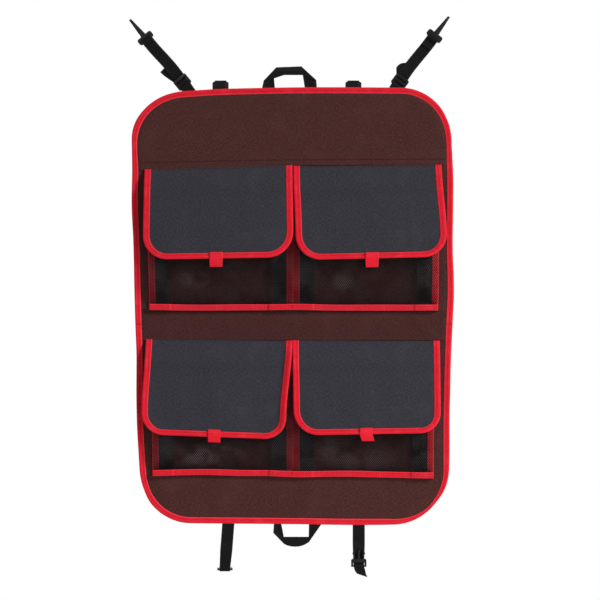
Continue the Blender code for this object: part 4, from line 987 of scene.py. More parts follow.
def addHem(rowName):
    # red tape turned up round the bottom seam: back edge on the panel, front face over the netting
    row, join, high = rows[rowName], hemLook["join"], hemLook["height"]
    near, nearJoin = (np.linspace(-reach, reach, count) for reach, count in (hemLook["atStep"], hemLook["atJoin"]))
    steps = [step + near for pair in hemLook["steps"] for step in pair]
    x = np.concatenate([np.linspace(*hemLook["ends"], hemLook["columns"]), *steps, join + nearJoin])
    x = np.unique(np.round(x, 5))
    (bowHigh, bowRun), (size, fine, beat), (lap, lapOver) = hemLook["bow"], hemLook["uneven"], hemLook["lap"]
    bow, base = bowHigh * np.sin(x * bowRun + row["phase"]), row["hemLow"] + row["lift"](x)
    depth = hemLook["depth"] - hemStep(x) + size * np.sin(x * fine) * np.sin(x * beat)
    depth = depth - hemLook["joinDepth"] * bell((x - join) / hemLook["joinWide"])
    depth = depth + hemLook["overlap"] * ease((join + lap - x) / lapOver)

    def rising(rise):
        return base + rise * hemLook["share"] + bow * ease(rise / high)

    columns, uvs, (deep, grooveWide) = [], [], hemLook["groove"]
    for out, rise in hemLook["section"][::-1]:
        groove = deep * sum(bell((rise - seam * 1000) / grooveWide) for seam in hemLook["seams"]) if out == 1.0 else 0
        columns.append(onPanel(x, rising(rise / 1000), panelFront + depth * out - groove))
        uvs.append(uvColumn(x, rise / 1000 - high / 2))
    parts = [tubePart(columns, uvs)]
    for rise in hemLook["seams"]:
        parts.append(seamPart(x, rising(rise), panelFront + depth - hemLook["sink"], pocketLook["pitch"]))
    makePiece("hem_" + rowName, parts, "tape", ["pocket_hem_" + rowName], row["body"])


padLook = {"columns": 26, "rows": 12, "crowd": 1.6, "seam": (0.9, 0.82), "pitch": 0.0030, "seamPoints": 40,
           "steepness": (14, 8), "roundness": 0.4, "under": 0.0002,
           "hooks": (0.060, 0.020, 0.0013)}  # the hook half's width, height and thickness


def padGrid(width, height, thick):
    # a thin pad: its height is a rounded bell with a steep border
    u, v = np.meshgrid(crowded(padLook["columns"], padLook["crowd"]), crowded(padLook["rows"], padLook["crowd"]))
    steepU, steepV = padLook["steepness"]
    rise = thick * ((1 - np.abs(u) ** steepU) * (1 - np.abs(v) ** steepV)) ** padLook["roundness"]
    return u * width / 2, v * height / 2, rise


def padStitches(grid):
    # stitches on a rectangle that lies on a pad's grid, at shares of its half width and half height
    t, one = np.linspace(-1, 1, padLook["seamPoints"]), np.ones(padLook["seamPoints"])
    shares = np.concatenate([t, one, -t, -one]), np.concatenate([-one, t, one, -t])
    counts = padLook["columns"], padLook["rows"]
    c, r = (np.interp(share * reach, crowded(count, padLook["crowd"]), np.arange(count))
            for share, reach, count in zip(shares, padLook["seam"], counts))
    lowR, lowC = np.clip(r.astype(int), 0, counts[1] - 2), np.clip(c.astype(int), 0, counts[0] - 2)
    fr, fc = (r - lowR)[:, None], (c - lowC)[:, None]
    line = (grid[lowR, lowC] * (1 - fc) + grid[lowR, lowC + 1] * fc) * (1 - fr)
    line = line + (grid[lowR + 1, lowC] * (1 - fc) + grid[lowR + 1, lowC + 1] * fc) * fr
    normal = unit(np.cross(np.gradient(grid, axis=1), np.gradient(grid, axis=0)))
    return stitchPart(line, normal[lowR, lowC], padLook["pitch"])


def addLoopPad(rowName, side):
    # the loop half of the closure, sewn on the netting under a flap
    name = rowName + "_" + sideNames[side]
    low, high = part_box("loop_strip_" + name)
    u, v, rise = padGrid(high.x - low.x, high.z - low.z, high.y - low.y)
    x, z = (low.x + high.x) / 2 + u, (low.z + high.z) / 2 + v
    front, back = np.stack([x, high.y - rise, z], -1), np.stack([x, high.y + 0 * x, z], -1)
    parts = [shellPart(front, back, np.stack([u, v], -1)), padStitches(front)]
    makePiece("loop_pad_" + name, parts, "loops", ["loop_strip_" + name], rows[rowName]["body"])


goods["netting"] = ("black_mesh", netFinish(), tapeFinish("blackMouthTape"))
nettings = []
for rowName in rows:
    nettings += [(rowName, *addNetting(rowName, side)) for side in sideNames]
    addSideTapes(rowName)
    addHem(rowName)
    for side in sideNames:
        addLoopPad(rowName, side)
print("pockets made")


# Flaps
# A flap is flat in u, across from its middle, and s, down from its root; hangs() gives its place in the air.

flapLook = {
    "half": 0.1395, "thick": 0.0014, "crown": 0.0010, "clothInset": 0.0016, "wider": 0.14,  # binding along the sides
    "binding": 0.0105, "bindingTop": -0.0012, "pucker": 0.00016, "stitchInset": 0.0068, "pitch": 0.0032,
    "stitchOut": (0.00125, -0.00145), "blend": (0.0005, 0.0065),
    # the fall: share of the drop, and depth in front of the root
    "fall": ((0.0, 0.09, 0.19, 0.34, 0.55, 0.80, 1.0, 1.2),
             (0.0, 0.0078, 0.0140, 0.0146, 0.0178, 0.0191, 0.0196, 0.0198)),
    "drift": 0.78, "crownFrom": 0.25, "curlFrom": (0.93, 0.07), "curlDown": 0.12,  # shares of the width and length
    # slow folds: height, how fast they run across and down, from which share and over how much, and their strength
    "waves": ((0.0007, 42, 0), (0.0005, 71, 4)), "wavesFrom": (0.15, 0.7), "waveShare": 0.9,
    "closure": (0.0006, 0.034, 0.25, 0.09),  # the patch it presses out: height, half width, place down, half length
    "rootThin": (0.012, 0.45), "clothRows": (44, 22), "clothColumns": 64, "seamDown": 0.0022, "seamInset": 0.012,
    "rootRows": (-0.0006, 0.0, 0.002), "rootFlat": (0.0005, 0.4), "seamPoints": 60, "edgeCounts": (34, 15, 42),
    "phaseRun": 50, "phases": {"upper": 0, "lower": 2}, "probe": 0.0006, "sewnIn": 0.003, "stitchTop": 0.001,
    # the binding's section: inset and distance out of the middle surface, in millimetres
    "section": [(10.7, 1.20), (10.1, 1.62), (8.6, 1.72), (6.8, 1.34), (5.2, 1.88), (3.4, 1.98), (1.5, 1.88),
                (0.5, 1.40), (0.1, -0.2), (1.2, -1.4), (3.2, -1.72), (5.2, -1.74), (6.8, -1.45), (10.5, -1.3),
                (10.5, -0.8), (5.0, -0.85), (1.4, -0.7), (1.1, 0.0), (1.4, 0.7), (5.0, 0.85), (10.5, 0.8)],
}
tabLook = {"width": 0.0241, "thick": 0.0018, "seams": (0.0014, 0.0050), "base": 0.0019, "pitch": 0.0027,
           "rows": (-0.0095, -0.0074, -0.004, 0.0, 0.004, 0.007), "pinch": (0.03, 0.004, 0.01), "seamInset": 0.0012,
           "rim": (0.0006, 0.0018), "rimOut": 0.0002, "foldShare": 1.7, "columns": (0.97, 0.9, 9), "seamPoints": 20,
           "backOut": (*[0.0] * 6, -0.0003, -0.0004, -0.0004, 0.0001)}
# each flap: root height at its left and right ends, how far its sides have moved at the root and at the bottom,
# bottom height left and right of the middle, corner radius left and right, the tab's place and how far it reaches
# above and below the edge, tab lean, how far the right edge curls out, and the folds: each with its place across, its
# share of the way down, its lean, its half width, its half length as a share, its height
flapShapes = {
    ("upper", -1): {"root": (0.2555, 0.2635), "top": (-0.0002, 0.0), "bottom": (-0.0020, 0.0018),
                    "low": (0.0860, 0.0905), "corner": (0.046, 0.049), "tab": (-0.1442, 0.0124, 0.0155),
                    "lean": 0.0, "curl": 0.0, "folds": [(0.110, 0.40, 0.0, 0.022, 0.30, 0.0008)]},
    ("upper", 1): {"root": (0.2620, 0.2645), "top": (-0.0008, 0.0), "bottom": (0.0035, 0.0090),
                   "low": (0.0850, 0.0915), "corner": (0.048, 0.043), "tab": (0.1420, 0.0118, 0.0165),
                   "lean": 0.0, "curl": 0.0,
                   "folds": [(0.076, 0.72, 0.02, 0.0085, 0.20, 0.0017), (-0.010, 0.95, 0.0, 0.005, 0.10, 0.0009),
                             (-0.108, 0.75, 0.01, 0.012, 0.16, 0.0009)]},
    ("lower", -1): {"root": (-0.0645, -0.0672), "top": (0.0024, 0.0), "bottom": (-0.0046, -0.0115),
                    "low": (-0.2420, -0.2518), "corner": (0.042, 0.042), "tab": (-0.1400, 0.0143, 0.0098),
                    "lean": 0.0, "curl": 0.0050, "folds": [(-0.005, 0.70, 0.02, 0.020, 0.22, 0.0009)]},
    ("lower", 1): {"root": (-0.0665, -0.0672), "top": (-0.0024, -0.0034), "bottom": (-0.0003, -0.0026),
                   "low": (-0.2440, -0.2395), "corner": (0.048, 0.038), "tab": (0.1388, 0.0124, 0.0126),
                   "lean": 0.0035, "curl": 0.0,
                   "folds": [(-0.105, 0.72, 0.03, 0.014, 0.22, 0.0012), (-0.008, 0.86, 0.02, 0.006, 0.12, 0.0009),
                             (0.016, 0.93, 0.0, 0.005, 0.08, 0.0007)]},
}
flapFall = softLine(*flapLook["fall"])


def flapOf(rowName, side):
    # a flap's shape with its name, its hinge and its length from root to edge
    flap = {**flapShapes[rowName, side], "row": rowName, "name": rowName + "_" + sideNames[side]}
    flap["middle"], flap["rootY"], _ = joint["flap_" + flap["name"] + "_lift"]["pos_m"]
    flap["rootZ"] = sum(flap["root"]) / 2
    flap["length"] = flap["rootZ"] - sum(flap["low"]) / 2
    return flap


def hangs(flap, u, s, n=0.0):
    # a point of the flap, n out of its middle surface: its height runs straight from root to edge, its depth follows
    # the fall's line with a crown across it, slow folds that grow towards the free edge, and a curl of one side
    if not np.isscalar(n) or n != 0.0:
        step = flapLook["probe"]
        beside = hangs(flap, u + step, s) - hangs(flap, u - step, s)
        below = hangs(flap, u, s + step) - hangs(flap, u, s - step)
        return hangs(flap, u, s) + unit(np.cross(below, beside)) * np.asarray(n)[..., None]
    share, right = s / flap["length"], (u / flapLook["half"] + 1) / 2
    top, bottom, root, low = (flap[key][0] * (1 - right) + flap[key][1] * right
                              for key in ("top", "bottom", "root", "low"))
    down = ease(share / flapLook["drift"])
    bow = flapLook["crown"] * (1 - (u / flapLook["half"]) ** 2) * ease(share / flapLook["crownFrom"])
    phase = flap["middle"] * flapLook["phaseRun"] + flapLook["phases"][flap["row"]]
    waves = sum(high * np.sin(u * fast - share * slant + k * phase)
                for k, (high, fast, slant) in enumerate(flapLook["waves"], 1))
    high, halfWide, at, halfLong = flapLook["closure"]
    patch = high * bell((u / halfWide) ** 2, ((share - at) / halfLong) ** 2)
    for place, at, lean, halfWide, halfLong, high in flap["folds"]:
        patch = patch + high * bell((u - place - lean * (share - at)) / halfWide, (share - at) / halfLong)
    ripple = waves * easeFrom(share, flapLook["wavesFrom"]) * flapLook["waveShare"] + patch
    curl = flap["curl"] * easeFrom(right, flapLook["curlFrom"]) * ease(share / flapLook["curlDown"])
    depth = flapFall(share) + bow + ripple + curl
    lean = top * (1 - down) + bottom * down
    return np.stack([flap["middle"] + u + lean, flap["rootY"] - depth, root + (low - root) * share], -1)


def flapEdge(flap, inset, start):
    # the bound edge in u and s: down the left side, round the bottom and up the right side; along the sides the
    # binding is a little wider than along the bottom
    half, length, wider = flapLook["half"], flap["length"], flapLook["wider"]
    (leftR, rightR), (count, cornerCount, bottomCount) = flap["corner"], flapLook["edgeCounts"]
    angle = np.linspace(0, math.pi / 2, cornerCount)
    side, left = inset * (1 + wider), inset * (1 + wider * np.cos(angle))
    right = inset * (1 + wider * np.sin(angle))
    bottomU = np.linspace(-half + leftR, half - rightR, bottomCount)[1:-1]
    u = np.concatenate([np.full(count, side - half), leftR - half - (leftR - left) * np.cos(angle), bottomU,
                        half - rightR + (rightR - right) * np.sin(angle), np.full(count, half - side)])
    s = np.concatenate([np.linspace(start, length - leftR, count, endpoint=False),
                        length - leftR + (leftR - inset) * np.sin(angle), np.full(len(bottomU), length - inset),
                        length - rightR + (rightR - inset) * np.cos(angle),
                        np.linspace(length - rightR, start, count + 1)[1:]])
    return u, s


def addFlapCloth(flap):
    # the slate cloth: rows across between the two sides, drawn in at the round corners
    half, length, inset, thick = flapLook["half"], flap["length"], flapLook["clothInset"], flapLook["thick"] / 2
    straight, turning = flapLook["clothRows"]
    widest, turn, (*atRoot, first) = max(flap["corner"]), np.linspace(0, 1, turning), flapLook["rootRows"]
    s = np.concatenate([atRoot, np.linspace(first, length - widest, straight)[:-1],
                        length - widest * (1 - np.sin(turn * math.pi / 2)) - inset * turn])
    left, right = (half - radius + np.sqrt(np.maximum(
        (radius - inset) ** 2 - np.clip(s - length + radius, 0, radius - inset) ** 2, 0)) for radius in flap["corner"])
    t = np.linspace(0, 1, flapLook["clothColumns"])
    u = right[:, None] * t - left[:, None] * (1 - t)
    down = s[:, None] + 0 * u
    flatTo, flat = flapLook["rootFlat"]
    out = thick * np.where(down < flatTo, flat, 1.0)
    front, back, uv = hangs(flap, u, down, out), hangs(flap, u, down, -out), np.stack([u, -down], -1)
    topU = np.linspace(flapLook["seamInset"] - half, half - flapLook["seamInset"], flapLook["seamPoints"])
    line = hangs(flap, topU, np.full(len(topU), flapLook["seamDown"]), thick)
    parts = [shellPart(front[::-1], back[::-1], uv[::-1]), stitchPart(line, toFront, flapLook["pitch"])]
    return makePiece("flap_cloth_" + flap["name"], parts, "flap", ["flap_" + flap["name"]])


def addFlapBinding(flap):
    # red tape folded round the flap's sides and bottom, square at both upper ends, stitched near its inner edge
    columns, uvs, (thinTo, thin) = [], [], flapLook["rootThin"]
    for inset, out in flapLook["section"]:
        u, s = flapEdge(flap, inset / 1000, flapLook["bindingTop"])
        uneven = pucker(u, s, flapLook["pucker"]) * (1 if out > 0 else -1)
        thinner = 1 - thin * ease(1 - s / thinTo) if out < 0 else 1.0  # the back ply thins at the root
        columns.append(hangs(flap, u, s, (out / 1000 + uneven) * thinner))
        uvs.append(uvColumn(lengthsOf(columns[0]), inset / 1000 - flapLook["binding"] / 2))
    parts = [tubePart(columns, uvs)]
    u, s = flapEdge(flap, flapLook["stitchInset"], flapLook["stitchTop"])
    for out in flapLook["stitchOut"]:
        line = hangs(flap, u, s, np.full(len(u), out))
        parts.append(stitchPart(line, unit(line - hangs(flap, u, s)), flapLook["pitch"]))
    return makePiece("flap_binding_edge_" + flap["name"], parts, "binding", ["flap_binding_" + flap["name"]])


def addTab(flap):
    # a doubled pull tab: sewn flat over the binding, its fold below the edge
    half, base, ply = tabLook["width"] / 2, tabLook["base"], tabLook["thick"] / 2
    place, above, below = flap["tab"]
    middle = place - flap["middle"]
    (rim, fold), (rimT, flatT, count) = tabLook["rim"], tabLook["columns"]
    rowsDown = [-above, rim - above, *tabLook["rows"], below - fold, below - rim, below]
    out = np.array([tabLook["rimOut"], *[ply * 2] * 8, ply * tabLook["foldShare"], ply])
    backOut = np.array([*tabLook["backOut"], ply])
    t, d = np.meshgrid([-1, -rimT, *np.linspace(-flatT, flatT, count), rimT, 1], rowsDown)
    pinch, *pinched = tabLook["pinch"]
    u = middle + t * half * (1 - pinch * easeFrom(d, pinched)) + flap["lean"] * ease(d / below)
    s = flap["length"] + d
    front = hangs(flap, u, s, base + out[:, None] * (1 - 0.5 * (np.abs(t) > rimT)))  # half as high along its rim
    back = hangs(flap, u, s, base + backOut[:, None] + 0 * t)
    parts = [shellPart(front[::-1], back[::-1], np.stack([s, t * half], -1)[::-1])]
    lineU = middle + np.linspace(tabLook["seamInset"] - half, half - tabLook["seamInset"], tabLook["seamPoints"])
    for seam in tabLook["seams"]:
        line = hangs(flap, lineU, flap["length"] - above + seam, np.full(len(lineU), base + ply * 2))
        parts.append(stitchPart(line, toFront, tabLook["pitch"]))
    return makePiece("tab_" + flap["name"], parts, "tab", ["pull_tab_" + flap["name"]], "flap_" + flap["name"])


def addHookPad(flap):
    # the hook half of the closure, under the flap in front of the pocket's mouth
    low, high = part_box("hook_strip_" + flap["name"])
    u, v, rise = padGrid(*padLook["hooks"])
    s, under = flap["rootZ"] - (low.z + high.z) / 2 - v, flapLook["thick"] / 2 + padLook["under"]
    near, far = hangs(flap, u, s, 0 * u - under), hangs(flap, u, s, -under - rise)
    parts = [shellPart(far[:, ::-1], near[:, ::-1], np.stack([u, v], -1)[:, ::-1]), padStitches(far)]
    return makePiece("hook_pad_" + flap["name"], parts, "hooks", ["hook_strip_" + flap["name"]],
                     "flap_" + flap["name"])


def addFlap(rowName, side):
    flap = flapOf(rowName, side)
    cloth, binding, tab, pad = addFlapCloth(flap), addFlapBinding(flap), addTab(flap), addHookPad(flap)
    for piece in (cloth, binding):
        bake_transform(piece)


for rowName in rows:
    for side in sideNames:
        addFlap(rowName, side)
print("flaps made")


# Webbing
# A strap is a rounded flat section carried along a path in its own up and out plane, at its CAD place.

strapLook = {
    "width": 0.020, "thick": 0.0014, "bar": 0.003, "clearance": 0.0010, "gap": 0.0003, "spread": 0.0024,
    "bow": 0.0018, "rootShift": 0.0025, "lowerSpread": 0.0030, "tailSlant": 0.34, "ripple": (0.00015, 190, 67),
    "step": 0.0015, "narrowest": 0.03, "skewOver": 0.01, "slantOver": 0.012, "anchorLow": 0.006,
    "sewn": 0.0225, "outerBar": 0.0062, "eyes": (0.00385, 0.00375, 0.0059),  # how high its three loops round bars are
    "foldBack": (0.0065, 0.022), "stitches": (0.012, 0.019), "stitchWidth": 0.017, "pitch": 0.0026,
    # each loose tail: how far it reaches up, how far its end lies to the side, how round the end is, and its line
    "tails": {"left": (0.044, 0.0090, 0.0, (-1.0, -0.86, -0.5, 0.0)),
              "right": (0.0400, 0.0118, 0.021, (-1.0, -1.0, -0.88, 0.0))},
    # the tail below the right buckle: how far it hangs out, as radii of the loop, down, and to the side, as its shares
    "rightTail": ((2.0, 0.2, 0.05), (2.1, 0.6, 0.17), (2.2, 1.0, 0.31)), "tailEnd": 0.0035,
    "wideFrom": (0.004, 0.012), "rootUp": 0.004, "leftShift": 0.0010, "blend": (0.0015, 0.004),
    "tailOut": ((0.0010, 1.0), (0.0006, 0.75), (0.0, 0.45)),  # how far out a hanging strap's tail lies, up to its end
    "loopEnds": (-0.0045, 0.003), "straightRows": 12, "stitchPoints": 12, "bowShare": 0.7,
}
loopRadius = strapLook["bar"] / 2 + strapLook["clearance"] + strapLook["thick"] / 2
hangerWidth = strapLook["width"] + strapLook["spread"]


def bandSection(width, thick):
    # a flat section with round edges: two half circles joined by straight runs
    angle, straight = np.linspace(-math.pi / 2, math.pi / 2, 5), width / 2 - thick / 2
    right = np.stack([straight + thick / 2 * np.cos(angle), thick / 2 * np.sin(angle)], -1)
    top = uvColumn(np.linspace(straight, -straight, 8)[1:-1], thick / 2)
    return np.concatenate([right, top, -right, -top])


def loopRun(out, up, start, end, rise=loopRadius):
    # points along an arc in the out and up plane, angles in degrees, stretched upwards or downwards to a rise
    angle = np.radians(np.linspace(start, end, 16))
    return np.stack([out + loopRadius * np.cos(angle), up + rise * np.sin(angle)], -1)


def placeTurned(points, origin, turn):
    # turns local points about Y and moves them to the origin given
    c, s = math.cos(turn), math.sin(turn)
    x, y, z = np.moveaxis(points, -1, 0)
    return np.stack([origin[0] + x * c + z * s, origin[1] + y, origin[2] - x * s + z * c], -1)


def strapPart(path, origin, turn=0.0, shift=0.0, wider=0.0, width=strapLook["width"], skew=0.0, endSlant=0.0,
              roundEnd=0.0):
    # webbing along a path of out and up places, shifted sideways, about an origin and turned about Y; across the
    # strap is local X, and out of its face is the tangent turned a quarter
    path = np.asarray(path, float)
    table = np.column_stack([path, np.broadcast_to(shift, len(path)), np.broadcast_to(wider, len(path))])
    table = table[np.concatenate([[True], np.linalg.norm(np.diff(path, axis=0), axis=1) > 1e-5])]
    run = lengthsOf(table[:, :2])
    fine = np.unique(np.concatenate([run, np.linspace(0, run[-1], max(len(table), int(run[-1] / strapLook["step"])))]))
    out, up, shift, wider = (np.interp(fine, run, column) for column in table.T)
    size, fast, beat = strapLook["ripple"]
    out = out + size * np.sin(fine * fast) * np.sin(fine * beat)
    tangent = unit(np.stack([np.gradient(out, fine), np.gradient(up, fine)], -1))
    section = bandSection(width, strapLook["thick"])
    # a round end draws the outer edge in towards the inner one
    shortfall = np.clip(1 - fine / max(roundEnd, 1e-9), 0, 1)
    narrow = np.sqrt(np.maximum(1 - shortfall ** 2, strapLook["narrowest"]))[:, None]
    x = (width / 2 - (width / 2 - section[:, 0]) * narrow) * (1 + wider[:, None] / width)
    atStart, atEnd = 1 - ease(fine / strapLook["skewOver"]), 1 - ease((run[-1] - fine) / strapLook["slantOver"])
    z = up[:, None] + tangent[:, :1] * section[:, 1] + (shift[:, None] + x) * skew * atStart[:, None]
    z = z - x * endSlant * atEnd[:, None]
    points = np.stack([shift[:, None] + x, out[:, None] - tangent[:, 1:] * section[:, 1], z], -1)
    points = placeTurned(points, origin, turn).swapaxes(0, 1)[::-1]
    return tubePart(points, [uvColumn(fine, across) for across in section[::-1, 0]])


def addHanger(sideName):
    # the sewn anchor, and the strap that runs from its loose tail through the ladder lock to the hook's eye
    names = ["ladder_lock_", "hook_strap_", "hanger_hook_"]
    lock, strap, hook = (np.array(joint[name + sideName + "_swing"]["pos_m"]) for name in names)
    axis = joint["ladder_lock_" + sideName + "_swing"]["axis"]
    turn = math.atan2(-axis[2], axis[0])
    eyes, sewn, bar = strapLook["eyes"], strapLook["sewn"], strapLook["bar"]
    anchor = [(-loopRadius, -sewn), (-loopRadius, -strapLook["anchorLow"])]
    anchor = np.concatenate([anchor, loopRun(0, 0, 180, -105, eyes[0])])
    lean = np.clip(-anchor[:, 1] / sewn, 0, 1) * math.copysign(strapLook["rootShift"], turn)
    part = strapPart(anchor, lock, turn, lean, width=hangerWidth, skew=math.tan(turn))
    makePiece("anchor_webbing_" + sideName, [part], "sewnWebbing", ["hanger_anchor_" + sideName], "upper_half")

    behind = bar / 2 + strapLook["gap"] + strapLook["thick"] / 2
    layer, outer = strapLook["thick"] + strapLook["gap"], strapLook["outerBar"]
    tail, (tailEnd, tailShift, tailRound, tailLine) = behind + layer, strapLook["tails"][sideName]
    length = math.sqrt(np.linalg.norm(hook - strap) ** 2 - (behind - loopRadius) ** 2)
    foldStart, foldEnd = strapLook["foldBack"]
    straight = strapLook["straightRows"]
    path = np.concatenate([
        [(tail + out, share * tailEnd) for out, share in strapLook["tailOut"]], [(tail, outer - bar / 2)],
        loopRun(0, 0, -10, -285, eyes[1]), [(behind, outer)],
        [(behind, length * k / straight) for k in range(2, straight)],
        loopRun(behind - loopRadius, length, 0, 285, eyes[2]),
        [(behind - layer, length - foldStart), (behind - layer, length - foldEnd)]])
    rise = np.clip((path[:, 1] - outer) / (length - foldEnd - outer), 0, 1)
    shift = -math.copysign(strapLook["bow"], turn) * np.sin(math.pi * rise ** strapLook["bowShare"])
    shift[:4] = np.array(tailLine) * tailShift
    parts = [strapPart(path, strap, turn, shift, width=hangerWidth, roundEnd=tailRound)]
    across = np.linspace(-strapLook["stitchWidth"] / 2, strapLook["stitchWidth"] / 2, strapLook["stitchPoints"])
    for below in strapLook["stitches"]:
        line = np.stack([across, 0 * across + behind - layer - strapLook["thick"] / 2, 0 * across + length - below], -1)
        parts.append(stitchPart(placeTurned(line, strap, turn), toFront, strapLook["pitch"]))
    name = "hook_strap_" + sideName
    makePiece("strap_webbing_" + sideName, parts, "sewnWebbing", [name], name)


def addBuckleLoop(sideName):
    # the short loop that holds a buckle behind the top edge
    bar = joint["female_buckle_" + sideName + "_swing"]["pos_m"]
    edge, stand = panelTop - bar[2], -panelFront / 2 - bar[1]
    path = np.concatenate([[(stand, edge + end) for end in strapLook["loopEnds"]], loopRun(0, 0, 160, -130)])
    part = strapPart(path, bar, width=hangerWidth)
    makePiece("loop_webbing_" + sideName, [part], "webbing", ["buckle_loop_" + sideName], "upper_half")


def addBottomStrap(sideName):
    # the straps below the panel, from the binding down and round each buckle's bar
    name, r = "bottom_strap_" + sideName, loopRadius
    root, plug = joint[name + "_swing"]["pos_m"], joint["male_buckle_" + sideName + "_swing"]["pos_m"]
    drop, tail, top = plug[2] - root[2], plug[2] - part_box(name)[0].z, (0, strapLook["rootUp"])
    if sideName == "left":
        path = np.concatenate([[top, (0, 0), (0, 0.3 * drop), (0, 0.6 * drop)], loopRun(r, drop, 180, 460)])
        shift = path[:, 1] * (plug[0] - root[0]) / drop
        shift = shift - strapLook["leftShift"] * (1 - np.clip(path[:, 1] / drop, 0, 1))
        slant = 0.0
    else:
        out, down, aside = np.array(strapLook["rightTail"]).T
        tailPath = np.stack([-out * r, drop - down * tail], -1)
        tailPath[-1, 1] += strapLook["tailEnd"]
        fromRoot = [top, (0, 0), (0, 0.5 * drop), (0, drop + 2.5 * r)]
        path = np.concatenate([fromRoot, loopRun(-r, drop, 40, 180), tailPath])
        shift, slant = np.concatenate([np.zeros(len(path) - 3), aside * tail]), strapLook["tailSlant"]
    # it keeps the buckle's slot width round the bar and is wider away from it
    wider = strapLook["lowerSpread"] * easeFrom(path[:, 1] - drop, strapLook["wideFrom"])
    part = strapPart(path, root, shift=shift, wider=wider, endSlant=slant)
    piece = makePiece("lower_strap_" + sideName, [part], "webbing", [name])
    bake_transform(piece)


for sideName in sideNames.values():
    addHanger(sideName)
    addBuckleLoop(sideName)
    addBottomStrap(sideName)
print("straps made")

# Handles: flat plies of webbing, folded over at the corners; 1 is the front ply; outlines in millimetres in X and Z
handlePlies = {
    "top_handle": [
        (0, [(-58.3, 404.0), (-58.3, 411.0), (-55.6, 423.5), (-38.5, 442.0), (-25.0, 436.0), (-35.8, 428.7),
             (-34.2, 411.0), (-34.2, 404.0)]),
        (1, [(-55.8, 423.8), (-31.6, 449.3), (15.8, 451.1), (44.4, 424.8), (28.0, 429.0), (18.0, 434.6),
             (-17.5, 434.6), (-35.8, 428.2)]),
        (0, [(22.1, 404.0), (22.1, 411.0), (18.2, 435.3), (24.0, 441.5), (44.0, 424.4), (45.2, 411.0),
             (45.2, 404.0)]),
    ],
    "bottom_handle": [
        (0, [(-36.1, -405.0), (-36.1, -412.3), (-37.3, -428.4), (-22.0, -445.0), (-9.0, -441.0), (-17.2, -437.2),
             (-21.9, -412.3), (-21.9, -405.0)]),
        (1, [(-37.5, -428.6), (-16.9, -449.8), (-10.8, -452.7), (-3.9, -454.4), (4.3, -455.0), (12.6, -454.4),
             (20.8, -451.8), (29.8, -446.7), (36.4, -437.0), (29.4, -436.2), (-17.2, -436.2), (-26.0, -430.4)]),
        (0, [(30.0, -405.0), (30.0, -412.5), (29.4, -441.0), (29.8, -446.7), (53.4, -413.0), (53.6, -405.0)]),
    ],
}
handleLook = {"thick": 0.0012, "soft": 0.0004, "rim": 0.0005, "behind": 0.0001, "before": 0.0013, "crease": 38,
              "blend": (0.0015, 0.004)}


def plyPart(outline, front, upright):
    # a flat ply: the outline as a polygon, front and back, with its rim softened by an inner ring
    points, thick, soft = np.array(outline) / 1000, handleLook["thick"], handleLook["soft"]
    inner = points + unit(points.mean(0) - points) * handleLook["rim"]
    after = np.roll(points, -1, axis=0)
    if np.sum(points[:, 0] * after[:, 1] - after[:, 0] * points[:, 1]) < 0:
        points, inner = points[::-1], inner[::-1]
    rings = (inner, front), (points, front + soft), (points, front + thick - soft), (inner, front + thick)
    co = np.concatenate([np.insert(ring, 1, y, axis=1) for ring, y in rings])
    count = len(points)
    first = np.arange(count)[None, :]
    uv = co[:, [2, 0]] if upright else co[:, [0, 2]]
    faces = [gridFaces(4, count, around=True)[:, [0, 3, 2, 1]], first, 3 * count + first[:, ::-1]]
    return co, faces, uv - uv.mean(0), 0


def addHandle(node):
    root = joint[node + "_swing"]["pos_m"]
    parts = [plyPart(outline, root[1] - handleLook["before"] if layer else root[1] + handleLook["behind"], not layer)
             for layer, outline in handlePlies[node]]
    piece = makePiece(node + "_webbing", parts, "webbing", [node], crease=handleLook["crease"])
    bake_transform(piece)


addHandle("top_handle")
addHandle("bottom_handle")
print("handles made")

# Plastic fittings: the CAD shapes, welded and with softened edges
fittingLook = {"weld": 0.00002, "flat": 1.5, "crease": 50, "bevel": 0.0007, "bevelSteps": 3, "bevelFrom": 25}


def addFitting(node, name):
    # a merged copy of a CAD node with a bevel on its hard edges, which stands for the node
    look, mesh, shape = fittingLook, bpy.data.meshes.new(name), bmesh.new()
    slotName, finish = goods["plastic"]
    shape.from_mesh(frame["nodes"][node].data)
    bmesh.ops.remove_doubles(shape, verts=shape.verts, dist=look["weld"])
    bmesh.ops.dissolve_limit(shape, angle_limit=math.radians(look["flat"]), verts=shape.verts, edges=shape.edges)
    shape.to_mesh(mesh)
    shape.free()
    mesh.materials.clear()
    mesh.materials.append(finish)
    mesh.shade_smooth()
    mesh.set_sharp_from_angle(angle=math.radians(look["crease"]))
    piece = linked(name, mesh)
    bevel = piece.modifiers.new("soft edges", "BEVEL")
    bevel.width, bevel.segments = look["bevel"], look["bevelSteps"]
    bevel.limit_method, bevel.angle_limit = "ANGLE", math.radians(look["bevelFrom"])
    bevel.use_clamp_overlap, bevel.harden_normals = True, False
    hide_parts(node)
    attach(piece, node)


for sideName in sideNames.values():
    for kind in ("ladder_lock_", "hanger_hook_", "female_buckle_", "male_buckle_"):
        addFitting(kind + sideName, kind + "moulding_" + sideName)
print("fittings made")

# Floor, light and camera
stageLook = {
    "pixel": 0.001887, "centreX": 293.0, "centreZ": 305.5, "frame": 600, "distance": 5.0,
    "floorBelow": 0.105, "floorColor": (0.86, 0.86, 0.86), "floorX": (-1.6, 1.6), "floorY": (-2.4, 0.5),
    "ambient": 0.315, "sun": 3.08, "sunFrom": (1.5, -1.0, 1.1), "sunSpread": 12,
    "lamps": {"fill": (7.6, (1.05, -1.25, -0.15), 0.9), "back": (45.0, (-0.9, 3.0, 1.0), 1.5)},  # power, place, size
}


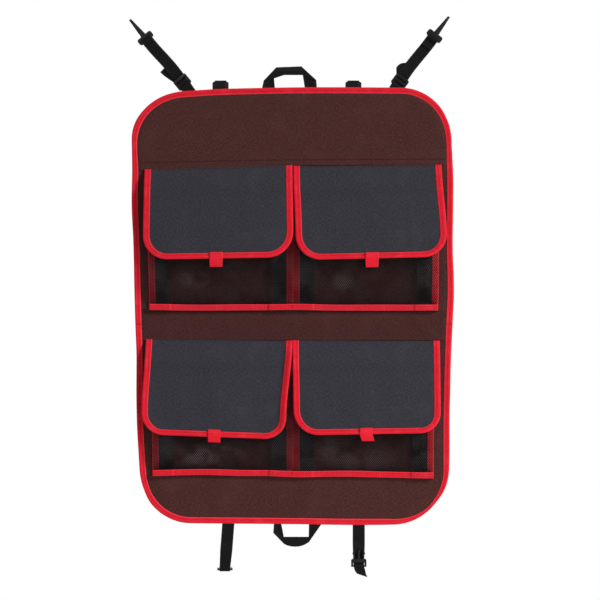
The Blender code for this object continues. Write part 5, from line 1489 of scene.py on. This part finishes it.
def addFloor():
    low, (left, right), (near, far) = cadBox[0].z - stageLook["floorBelow"], stageLook["floorX"], stageLook["floorY"]
    mesh = bpy.data.meshes.new("floor")
    mesh.from_pydata([(left, near, low), (right, near, low), (left, far, low), (right, far, low)], [], [(0, 1, 3, 2)])
    material = startFinish("paleFloor", 0.8, 0.3)
    material.node_tree.nodes["Principled BSDF"].inputs["Base Color"].default_value = (*stageLook["floorColor"], 1)
    mesh.materials.append(material)
    linked("floor", mesh)


def addWorld():
    # camera, glossy and transmitted rays see plain white; the cloth is lit at a softer level
    world = bpy.context.scene.world = bpy.data.worlds.new("studio")
    world.use_nodes = True
    tree = world.node_tree
    tree.nodes.clear()
    white = (1, 1, 1, 1)
    soft = addNode(tree, "Background", white, stageLook["ambient"])
    plain = addNode(tree, "Background", white)
    rays = addNode(tree, "LightPath").node.outputs
    seen = maths("MAXIMUM", maths("MAXIMUM", rays["Is Camera Ray"], rays["Is Glossy Ray"]),
                 rays["Is Transmission Ray"])
    mix = addNode(tree, "MixShader", seen, soft, plain)
    tree.links.new(mix, tree.nodes.new("ShaderNodeOutputWorld").inputs[0])


def turned(place):
    # the turn that points a lamp at a place towards the middle of the panel
    x, y, z = place
    return math.atan2(math.hypot(x, y), z), 0.0, math.atan2(x, -y)


def addSun():
    # soft light that falls alike on the whole panel, from the upper right
    lamp = bpy.data.lights.new("sun", "SUN")
    lamp.energy, lamp.angle = stageLook["sun"], math.radians(stageLook["sunSpread"])
    linked("sun", lamp).rotation_euler = turned(stageLook["sunFrom"])


def addLamp(name, power, place, size):
    # a square lamp that faces the middle of the panel
    lamp = bpy.data.lights.new(name, "AREA")
    lamp.energy, lamp.size = power, size
    obj = linked(name, lamp)
    obj.location, obj.rotation_euler = place, turned(place)


def addCamera():
    # it looks straight at the front, and its frame is as wide as the photograph's at the panel
    camera, look = bpy.data.cameras.new("camera"), stageLook
    camera.lens = camera.sensor_width * look["distance"] / (look["frame"] * look["pixel"])
    obj = bpy.context.scene.camera = linked("camera", camera)
    x, z = look["frame"] / 2 - look["centreX"], look["centreZ"] - look["frame"] / 2
    obj.location, obj.rotation_euler = (x * look["pixel"], -look["distance"], z * look["pixel"]), (math.pi / 2, 0, 0)


addFloor()
addWorld()
addSun()
for lampName, lamp in stageLook["lamps"].items():
    addLamp(lampName, *lamp)
addCamera()
bpy.context.scene.view_settings.view_transform = "Standard"
print("stage set")
